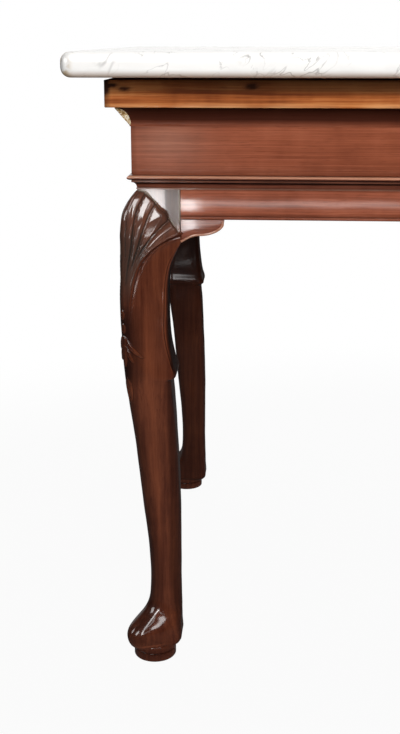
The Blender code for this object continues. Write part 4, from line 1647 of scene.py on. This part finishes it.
@dataclass
class CabrioleLegs:
    """Four cabriole legs: the front pair carry a carved shell and husk, the back pair are plain."""

    plan: Plan
    form: LegForm
    shell: ShellCarving = field(default_factory=ShellCarving)
    husk: HuskCarving = field(default_factory=HuskCarving)
    carved_counts: tuple[int, int] = (94, 16)
    plain_counts: tuple[int, int] = (44, 16)
    # How far apart the rings lie beside the husk and above it
    carved_spacing: Pair = (0.0009, 0.0009)
    plain_spacing: Pair = (0.003, 0.004)
    shank_spacing: float = 0.0060
    foot_spacing: float = 0.0020
    husk_levels: Pair = (0.385, 0.490)
    husk_top: float = 0.530
    shell_low: float = 0.478
    ankle: float = 0.115
    lappet_levels: Pair = (0.432, 0.605)
    back_drop: float = 0.0100
    waves: float = 0.00025
    wave_length: float = 0.075
    foot_bulge: float = 0.0036
    bulge_level: float = 0.045
    bulge_width: float = 0.019
    foot_blur: float = 0.012
    blur_fade: float = 0.030
    blur_taps: int = 13
    edge_inset: float = 0.0016
    edge_swing: float = 0.0078
    edge_ridges: Pair = (0.0, -0.0030)
    edge_width: float = 0.0008
    edge_height: float = 0.00012

    def build(self) -> None:
        """Builds each leg from the plain or the carved rings."""
        carved = self.rings(True)
        plain = self.rings(False)
        for corner in Corner:
            self.place(corner, *(carved if corner.is_front else plain))

    def stations(self, carved: bool) -> Array:
        """The levels of the leg's rings over the pad.

        Args:
            carved: whether the knee is carved.

        Returns:
            Levels from the foot to the shoulder.
        """
        base = self.form.pad_height + self.form.foot[-1][0]
        shoulder = self.form.shoulder
        stops = (base, self.ankle, *self.husk_levels, shoulder)
        upper = self.carved_spacing if carved else self.plain_spacing
        gaps = (self.foot_spacing, self.shank_spacing, *upper)
        levels = []
        for low, high, gap in zip(stops, stops[1:], gaps):
            levels.append(np.linspace(low, high, max(2, round((high - low) / gap)), endpoint=False))
        return np.concatenate([*levels, [shoulder]])

    def rings(self, carved: bool) -> tuple[Array, dict[str, Array]]:
        """All rings of a leg in its corner's own frame, with grime and shade, wear and highlights, and dust.

        Args:
            carved: whether the knee is carved.

        Returns:
            A grid of points, and grime with painted shade, wear with painted highlights and dust for each by
            name.
        """
        form = self.form if carved else self.form.dropped(self.back_drop)
        counts = self.carved_counts if carved else self.plain_counts
        table, sizes = form.sections()
        levels = self.stations(carved)
        taps = np.linspace(-1.0, 1.0, self.blur_taps)
        weights = hump(taps, 0.0, 0.6) / hump(taps, 0.0, 0.6).sum()
        fade = ease(self.ankle, self.ankle - self.blur_fade, levels)
        halves, reaches, faces = [], [], []
        for level, share in zip(levels, fade):
            blur = min(self.foot_blur, level - levels[0]) * share
            near = [form.between(table, sizes, level + blur * tap) for tap in taps]
            outline = form.outline(*sum(weight * row for weight, row in zip(weights, near)))
            half, reach, face = form.half_ring(outline, counts)
            halves.append(half)
            reaches.append(reach)
            faces.append(face)
        grid = np.array(halves)
        height, shades, flat = self.carving(np.array(reaches), levels, np.array(faces), grid[..., 1], carved)
        grid[..., 1] = grid[..., 1] * (1 - flat) + self.plan.setback * flat
        ring = self.whole(grid, levels)
        around = np.roll(ring, -1, axis=1) - np.roll(ring, 1, axis=1)
        normal = np.cross(around, np.gradient(ring, axis=0))
        normal = normal / np.maximum(np.linalg.norm(normal, axis=2), 1e-12)[..., None]
        ring = ring + normal * self.whole_values(height)[..., None]

        step, easing = form.post_step, form.post_easing
        square = form.outline(step, self.plan.post_inner - easing, step, easing, easing)
        post = form.half_ring(square, counts)[0]
        top = self.whole(np.array([post, post]), np.array([form.shoulder, form.post_top]))
        pad = self.pad(ring[0])
        blank = np.zeros(pad.shape[:2])
        grooved = 0.85 * hump(pad[..., 2], form.groove_height, form.groove_width / 2)
        full = {}
        for name, values in shades.items():
            low = grooved if name == "grime" else blank
            full[name] = np.concatenate([low, self.whole_values(values), np.zeros(top.shape[:2])])
        return np.concatenate([pad, ring, top]), full

    @staticmethod
    def whole(halves: Array, levels: Array) -> Array:
        """Mirrors half rings across the arris and gives them their levels."""
        flat = np.concatenate([halves, halves[:, -2:0:-1, ::-1]], axis=1)
        return np.dstack([flat, np.outer(levels, np.ones(flat.shape[1]))])

    @staticmethod
    def whole_values(halves: Array) -> Array:
        """Mirrors values on half rings across the arris."""
        return np.concatenate([halves, halves[:, -2:0:-1]], axis=1)

    def carving(
        self, reach: Array, levels: Array, faces: Array, depth: Array, carved: bool
    ) -> tuple[Array, dict[str, Array], Array]:
        """Heights and shades of everything carved on half a leg, and where its block is flat.

        Args:
            reach: distances from the arris for each ring and point.
            levels: the rings' levels.
            faces: the length of the outer face of each ring.
            depth: how far each point lies behind the frieze's face.
            carved: whether the shell and the husk are there.

        Returns:
            Heights in metres; grime with painted shade, wear with painted highlights and dust by name;
            and 1 where the block is flat.
        """
        level, face = (np.outer(values, np.ones(reach.shape[1])) for values in (levels, faces))
        across = np.clip(reach / face, 0.0, 1.0)
        shoulder = self.form.shoulder
        height = self.waves * ripple(level, reach, self.wave_length, 1.0)
        height = height * ease(shoulder, shoulder - 0.05, level)
        bulge = 4 * across * (1 - across) * hump(level, self.bulge_level, self.bulge_width)
        height = height + self.foot_bulge * bulge

        low, high = self.lappet_levels
        low = low if carved else low - self.back_drop
        lappet = ease(high, high - 0.02, level) * ease(low, low + 0.012, level)
        edge = face - reach - self.edge_inset + self.edge_swing * ease(0.500, 0.428, level)
        ridges = [hump(edge, inset, self.edge_width) * lappet for inset in self.edge_ridges]
        height = height + self.edge_height * sum(ridges)
        # A painted highlight along the foot's lower edge
        painted_sole_highlight = hump(level, 0.0268, 0.0014) * hump(across, 0.45, 0.30)
        # Lightens a band down the middle of the leg's face
        middle_band = hump(across, 0.64, 0.20) * ease(0.10, 0.20, level) * ease(0.56, 0.48, level)
        wear = np.maximum.reduce([0.8 * painted_sole_highlight, *(0.35 * ridge for ridge in ridges), 0.32 * middle_band])
        toe = ease(0.42, 0.26, across) * ease(0.095, 0.075, level) * ease(0.026, 0.036, level)
        # Painted shade along the arris, where the leg's faces turn away from the light
        arris = hump(reach, 0.0, 0.012) * ease(0.560, 0.500, level) * ease(0.060, 0.100, level)
        # Painted shade on the inner faces, which turn away from the light
        behind = ease(0.002, 0.010, reach - face)
        channel = hump(edge, sum(self.edge_ridges) / 2, self.edge_width) * lappet
        # Painted shade on the lappet where it turns round the back corner
        painted_inner_shade = ease(0.003, 0.006, -edge) * lappet
        # The channel holds grime in the lappet's groove and the toe gets grime; the other terms here are
        # painted shade
        grime = 0.7 * channel + 0.3 * painted_inner_shade + 0.50 * behind + 0.34 * toe + 0.45 * arris
        dust, flat = np.zeros((2, *level.shape))
        if carved:
            on_shell = (levels > self.shell_low) & (levels < shoulder)
            slope = np.gradient(depth, axis=1) / np.gradient(reach, axis=1)
            recess = depth - depth[:, :1]
            fields = (reach / MM, level / MM, slope, recess / MM)
            shell = self.shell.relief(*(values[on_shell] for values in fields))
            block = shell["block"]
            height[on_shell] = height[on_shell] * (1 - block) + shell["height"] * MM
            # Painted shade: the block's right strip is darkened and dulled, so it reflects less than its left
            dull = ease(face - 0.0198, face - 0.0186, reach) * ease(0.630, 0.636, level)
            grime[on_shell] += shell["grime"] + 0.52 * block * dull[on_shell]
            joint = 0.9 * hump(reach, face - 0.0004, 0.0012) * ease(0.632, 0.642, level)
            dust[on_shell] = np.maximum(shell["dust"], joint[on_shell])
            flat[on_shell] = block * (reach[on_shell] < face[on_shell] + 0.0005)

            on_husk = (levels > self.husk_levels[0]) & (levels < self.husk_top)
            husk = self.husk.relief(reach[on_husk] / MM, level[on_husk] / MM)
            height[on_husk] += husk["height"] * MM
            # Painted shade on the ground beside the arris round the husk
            ground = ease(0.034, 0.014, reach) * ease(0.405, 0.440, level) * ease(0.545, 0.505, level)
            rubbed = 1 - 0.50 * ease(0.1, 0.8, husk["height"])
            grime[on_husk] = np.maximum((grime + 0.42 * ground)[on_husk] * rubbed, husk["grime"])
            wear[on_husk] = np.maximum(wear[on_husk], husk["wear"])
        return height, {"grime": grime, "wear": wear, "dust": dust}, flat

    def pad(self, lowest: Array) -> Array:
        """Rings of the turned pad, with their points in line with the leg's lowest ring.

        Args:
            lowest: that ring's points.

        Returns:
            The pad's rings from the floor up.
        """
        middle = self.plan.setback + self.form.pad_inset
        angles = np.arctan2(lowest[:, 1] - middle, lowest[:, 0] - middle)
        levels, radii = np.array(self.form.pad_stations()).T
        flat = [middle + np.outer(radii, way(angles)) for way in (np.cos, np.sin)]
        return np.stack([*flat, np.outer(levels, np.ones_like(angles))], axis=-1)

    def place(self, corner: Corner, grid: Array, shades: dict[str, Array]) -> None:
        """Turns the rings to a corner, and makes and dresses the leg.

        Args:
            corner: the leg's corner.
            grid: the rings in the corner's own frame.
            shades: the grime with painted shade, the wear with painted highlights and the dust of each point.
        """
        sign_x, sign_y = corner.value
        placed = grid * (sign_x, sign_y, 1.0) + (*self.plan.corner(corner), 0.0)
        grain = placed.reshape(-1, 3)[:, [2, 0, 1]] + (0.9 * sign_x + 0.4 * sign_y, 0.0, 0.0)
        layers = {name: values.ravel() for name, values in shades.items()}
        dress = Dress(LEG_MAHOGANY, grain, **layers, sharp_angle=50.0)
        dress.apply(f"cabriole_{corner.label}", skin("leg", placed), [f"leg_{corner.label}"])


class Way(Labelled):
    """Which way an ear runs from its leg: along the front or along the side."""

    ALONG = auto()
    SIDE = auto()


@dataclass
class KneeBrackets:
    """Six scrolled ears beside the legs, each with a bead along its foot."""

    plan: Plan
    edge: EdgeBead
    rail_foot: float
    length: float = 0.060
    drop: float = 0.033
    tip: float = 0.003
    neck_reach: float = 0.028
    neck_drop: float = 0.021
    thickness: float = 0.020
    bead_radius: float = 0.0016
    bead_sides: int = 14
    bead_depth: float = 0.0004
    # Painted highlight along each ear's bead
    bead_wear: float = 0.5
    bead_inset: float = 0.9
    hollow: float = -0.0002
    root: float = 0.0045
    steps: int = 26
    face_points: int = 16

    def foot_line(self) -> Profile:
        """The ear's S-shaped foot from the leg to its tip.

        Returns:
            Reaches and drops.
        """
        line: Profile = []
        for share in np.linspace(self.root / self.neck_reach, 1.0, self.steps, endpoint=False):
            rise = (self.drop - self.neck_drop) * math.sin(share * math.pi / 2)
            line.append((self.neck_reach * share, self.drop - rise))
        for turn in np.linspace(0.0, math.pi / 2, self.steps):
            reach = self.neck_reach + (self.length - self.neck_reach) * math.sin(turn)
            line.append((reach, self.tip + (self.neck_drop - self.tip) * math.cos(turn)))
        return line

    def build(self) -> None:
        """Builds every ear."""
        for corner in Corner:
            for way in Way if corner.is_front else (Way.SIDE,):
                self.ear(corner, way)

    def turned(self, corner: Corner, way: Way, rows: Array) -> Array:
        """Places rows of reach, depth and drop at a corner.

        Args:
            corner: the ear's corner.
            way: which way the ear runs.
            rows: reach from the post, depth behind the post's face, and drop below the rail.

        Returns:
            Rows of x, y and z.
        """
        reach = self.plan.post_inner + self.plan.gap + rows[..., 0]
        depth = self.plan.setback + rows[..., 1]
        inward = (reach, depth) if way is Way.ALONG else (depth, reach)
        flat = self.plan.corner(corner) + np.array(corner.value) * np.stack(inward, axis=-1)
        level = self.rail_foot - self.plan.gap - rows[..., 2]
        return np.concatenate([flat, level[..., None]], axis=-1)

    def ear(self, corner: Corner, way: Way) -> None:
        """Builds one ear and the bead along its foot.

        Args:
            corner: the ear's corner.
            way: which way the ear runs.
        """
        foot = self.foot_line()
        share = np.linspace(0.0, 1.0, self.face_points)
        rings = []
        for reach, drop in foot:
            dish = self.hollow * np.sin(np.pi * share) * min(1.0, drop / self.neck_drop)
            front = np.column_stack([np.full_like(share, reach), dish, drop * share])
            back = front[::-1].copy()
            back[:, 1] = self.thickness
            rings.append(np.vstack([front, back]))
        label = f"{corner.label}_{way.label}"
        ear = skin("ear", self.turned(corner, way, np.array(rings)))
        inset = self.bead_radius * self.bead_inset
        tip = self.length - inset
        line = [(min(reach, tip), self.bead_depth, max(drop - inset, 0.0)) for reach, drop in foot]
        path = drawn_line(self.turned(corner, way, np.array(line)), False)
        finish = MOULDING_MAHOGANY
        values = {"Radius": self.bead_radius, "Sides": self.bead_sides, "Finish": finish.material()}
        bead = self.edge.run(path, values)
        # The bead's wear value paints a highlight along it
        pieces = (
            (f"ear_{label}", ear, 0.0, [f"knee_bracket_{label}"]),
            (f"ear_bead_{label}", bead, self.bead_wear, []),
        )
        for name, mesh, wear, nodes in pieces:
            points = mesh_points(mesh)
            rubbed = np.full(len(points), wear)
            dress = Dress(finish, points[:, [0, 2, 1]], wear=rubbed, sharp_angle=45.0)
            dress.apply(name, mesh, nodes)


@dataclass
class Carcass:
    """The plain pine boards, bearers and blocks at the wall side and inside the frame."""

    boards: tuple[str, ...] = ("cornice_board_back", "frieze_back", "lower_rail_back")
    inside: tuple[str, ...] = ("cross_bearer", "glue_block")
    first_seed: float = 11.0
    easing: float = 0.0015
    spacing: float = 0.030
    face_steps: int = 6
    waves: float = 0.0003
    wave_length: float = 0.21
    dark_end: float = 0.02

    def build(self, nodes: dict[str, Object]) -> None:
        """Eases the back boards and dresses the pieces inside.

        Args:
            nodes: the solids' objects by name.
        """
        for number, name in enumerate(self.boards):
            self.board(name, self.first_seed + number)
        for name, node in nodes.items():
            if name.startswith(self.inside):
                node.data.materials.clear()
                node.data.materials.append(PINE_CORE.material())
                LOG.info("%s keeps its solid and gets %s", name, PINE_CORE.name)

    def board(self, name: str, seed: float) -> None:
        """A back board with eased arrises.

        Args:
            name: the solid that it stands for.
            seed: where its grain starts.
        """
        low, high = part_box(name)
        stations = np.linspace(low[0], high[0], round((high[0] - low[0]) / self.spacing))
        section = eased_board((low[1], high[1]), (low[2], high[2]), self.easing, self.face_steps)
        grid = np.array([[(x, y, z) for y, z in section] for x in stations])
        waves = self.waves * ripple(grid[..., 0], grid[..., 2], self.wave_length, seed)
        grid[..., 1] = np.clip(grid[..., 1] + waves - self.waves, low[1], high[1])
        x, y, z = grid.reshape(-1, 3).T
        grime = 0.35 * ease(self.dark_end, 0.0, np.minimum(x - low[0], high[0] - x))
        dress = Dress(PINE, np.column_stack([x + seed, z, y]), grime)
        dress.apply(f"{name}_plank", skin(name, grid), [name])


@dataclass(frozen=True)
class Lamp:
    """A soft box that faces a point.

    A mirrored one only shows in polished surfaces; the others only light them.
    """

    name: str
    place: Triple
    aim: Triple
    size: Pair
    watts: float
    mirrored: bool = True
    roll: float = 0.0

    def hang(self) -> None:
        """Hangs the lamp in the scene."""
        light = bpy.data.lights.new(self.name, "AREA")
        light.shape = "RECTANGLE"
        light.size, light.size_y = self.size
        light.energy = self.watts
        lamp = stand(self.name, light)
        lamp.location = self.place
        lamp.visible_glossy = self.mirrored
        lamp.visible_diffuse = not self.mirrored
        lamp.visible_camera = False
        facing = (Vector(self.aim) - Vector(self.place)).to_track_quat("-Z", "Y")
        lamp.rotation_euler = (facing @ Quaternion((0.0, 0.0, 1.0), math.radians(self.roll))).to_euler()


LAMPS = (
    Lamp("tall_box", (-1.28, -2.35, 1.97), (-0.66, -0.32, 0.655), (0.50, 1.60), 38.0, roll=25.0),
    Lamp("high_box", (-1.20, -1.11, 2.30), (-0.66, -0.32, 0.655), (0.46, 0.80), 14.0, roll=20.0),
    Lamp("left_box", (-2.39, -0.96, 1.32), (-0.69, -0.34, 0.47), (0.80, 0.80), 20.0),
    Lamp("bead_strip", (-0.45, -1.55, 2.00), (-0.45, -0.32, 0.69), (1.30, 0.25), 4.0),
    Lamp("block_box", (-0.750, -1.20, 0.530), (-0.66, -0.31, 0.66), (0.055, 0.075), 0.31),
    Lamp("rail_box", (-0.676, -1.20, 0.518), (-0.61, -0.31, 0.65), (0.030, 0.090), 0.24),
    Lamp("low_strip", (-0.44, -1.20, 0.530), (-0.44, -0.31, 0.66), (0.42, 0.045), 0.25),
    Lamp("foot_box", (0.36, -1.79, 1.33), (-0.66, -0.32, 0.055), (0.40, 0.44), 4.0),
    Lamp("front_box", (-0.10, -3.00, 1.50), (-0.30, -0.30, 0.70), (1.40, 1.00), 82.0, False),
    Lamp("overhead", (0.0, 0.3, 2.6), (0.0, 0.0, 0.8), (1.8, 1.2), 27.0, False),
    Lamp("back_fill", (-1.40, 2.90, 1.90), (-0.20, 0.20, 0.60), (1.40, 1.00), 32.0, False),
    Lamp("right_fill", (3.00, 0.30, 1.50), (0.40, 0.00, 0.60), (1.40, 1.00), 46.0, False),
)


@dataclass
class Studio:
    """The pale floor, the white surround, the soft lamps and the camera."""

    plan: Plan
    focal_px: float = 1100.0
    horizon_px: float = 38.0
    ahead_px: float = 270.0
    sensor: float = 36.0
    clip_start: float = 0.05
    camera_offset: Triple = (0.1731, -1.4055, 0.8652)
    floor_radii: Pair = (2.1, 1.5)
    floor_points: int = 96
    floor_grey: float = 0.30
    floor_fade: float = 0.55
    floor_white: float = 0.95
    floor_shine: float = 0.07
    wall_span: Pair = (0.45, 0.80)
    wall_foot: Pair = (-0.01, 0.002)
    lit_span: Pair = (-0.9, 0.3)
    ambient: float = 0.12
    shaded: float = 0.07
    room: float = 0.02

    def build(self) -> None:
        """Builds the whole studio."""
        self.camera()
        self.floor()
        self.surround()
        for lamp in LAMPS:
            lamp.hang()

    def camera(self) -> None:
        """The camera at the photograph's viewing angle."""
        tilt = math.atan((IMAGE_HEIGHT / 2 - self.horizon_px) / self.focal_px)
        yaw = math.atan((self.ahead_px - IMAGE_WIDTH / 2) * math.cos(tilt) / self.focal_px)
        lens = bpy.data.cameras.new("camera")
        lens.sensor_width = self.sensor
        lens.lens = self.focal_px / IMAGE_HEIGHT * self.sensor
        lens.clip_start = self.clip_start
        camera = stand("camera", lens)
        right, back, up = self.camera_offset
        camera.location = (self.plan.left + right, self.plan.front + back, up)
        camera.rotation_euler = (math.pi / 2 - tilt, 0.0, yaw)
        bpy.context.scene.camera = camera

    @staticmethod
    def seen(add: Adder, shine: float = 1.0) -> Node:
        """Whether a ray comes from the camera, a reflection or a refraction.

        Args:
            add: adds a node to the tree that asks.
            shine: what a reflection counts for.

        Returns:
            1 for a ray that sees the background, 0 for one that only lights the table.
        """
        path = add("ShaderNodeLightPath").outputs
        glossy = add("ShaderNodeMath", (path["Is Glossy Ray"], shine), operation="MULTIPLY")
        either = add("ShaderNodeMath", (path["Is Camera Ray"], glossy), operation="MAXIMUM")
        return add("ShaderNodeMath", (either, path["Is Transmission Ray"]), operation="MAXIMUM")

    def floor(self) -> None:
        """A pale floor that shows white and keeps a soft shadow."""
        turns = np.linspace(0.0, 2 * math.pi, self.floor_points, endpoint=False)
        wide, deep = self.floor_radii
        mesh = bpy.data.meshes.new("floor")
        rim = np.column_stack([wide * np.cos(turns), deep * np.sin(turns), 0 * turns])
        mesh.from_pydata(rim.tolist(), [], [list(range(len(rim)))])
        material = bpy.data.materials.new("pale_floor")
        material.use_nodes = True
        tree = material.node_tree
        tree.nodes.remove(tree.nodes["Principled BSDF"])
        add = partial(add_node, tree)
        ground = add("ShaderNodeBsdfDiffuse", {"Color": (*(self.floor_grey,) * 3, 1.0)})
        glow = add("ShaderNodeEmission", {"Strength": self.seen(add, self.floor_shine)})
        place = add("ShaderNodeTexCoord").outputs["Object"]
        scaled = add("ShaderNodeVectorMath", (place, (1 / wide, 1 / deep, 0.0)), operation="MULTIPLY")
        away = add("ShaderNodeVectorMath", (scaled,), operation="LENGTH").outputs["Value"]
        fade = (away, self.floor_fade, 1.0, self.floor_white, 1.0)
        white = add("ShaderNodeMapRange", fade, interpolation_type="SMOOTHSTEP")
        share = add("ShaderNodeMath", (self.seen(add), white), operation="MULTIPLY")
        mixed = add("ShaderNodeMixShader", (share, ground, glow))
        feed(tree, tree.nodes["Material Output"], {"Surface": mixed})
        mesh.materials.append(material)
        stand("floor", mesh)

    def surround(self) -> None:
        """A white backdrop for the camera, a dim room in front, and soft light that fades to the left."""
        world = bpy.data.worlds.new("studio")
        world.use_nodes = True
        tree = world.node_tree
        add = partial(add_node, tree)
        direction = add("ShaderNodeTexCoord").outputs["Generated"]
        way = add("ShaderNodeSeparateXYZ", (direction,)).outputs
        spans = ((way["Y"], *self.wall_span), (way["Z"], *self.wall_foot), (way["X"], *self.lit_span))
        behind, above, lit = (
            add("ShaderNodeMapRange", span, interpolation_type="SMOOTHSTEP") for span in spans
        )
        wall = add("ShaderNodeMath", (behind, above), operation="MULTIPLY")
        path = add("ShaderNodeLightPath").outputs
        white = add("ShaderNodeMath", (path["Is Camera Ray"], wall), operation="MAXIMUM")
        mixed = []
        for share, dim, bright in ((lit, self.shaded, self.ambient), (white, self.room, 1.0)):
            layer = {0: share, 6: (dim, dim, dim, 1.0), 7: (bright, bright, bright, 1.0)}
            mixed.append(add("ShaderNodeMix", layer, data_type="RGBA").outputs[2])
        layers = {0: self.seen(add), 6: mixed[0], 7: mixed[1]}
        colour = add("ShaderNodeMix", layers, data_type="RGBA").outputs[2]
        feed(tree, tree.nodes["Background"], {"Color": colour})
        bpy.context.scene.world = world


def main() -> None:
    """Builds every sub-assembly in order."""
    logging.basicConfig(level=logging.INFO, format="%(name)s: %(message)s")
    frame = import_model()
    bpy.context.scene.view_settings.view_transform = "Standard"
    plan = Plan.from_solids()
    Studio(plan).build()
    Slab().build()
    fine_sweep, sweep = RunSweep(spacing=0.004), RunSweep()
    for number, side in enumerate(Side):
        CorniceBoard(plan, side, number).build(fine_sweep)
    for number, side in enumerate(Side):
        Apron(plan, sweep, side, number).build()
    rail_foot, shoulder = node_levels("lower_rail_front")
    CabrioleLegs(plan, LegForm(plan, shoulder, node_levels("frieze_front")[1])).build()
    KneeBrackets(plan, EdgeBead(), rail_foot).build()
    Carcass().build(frame["nodes"])


if __name__ == "__main__":
    main()
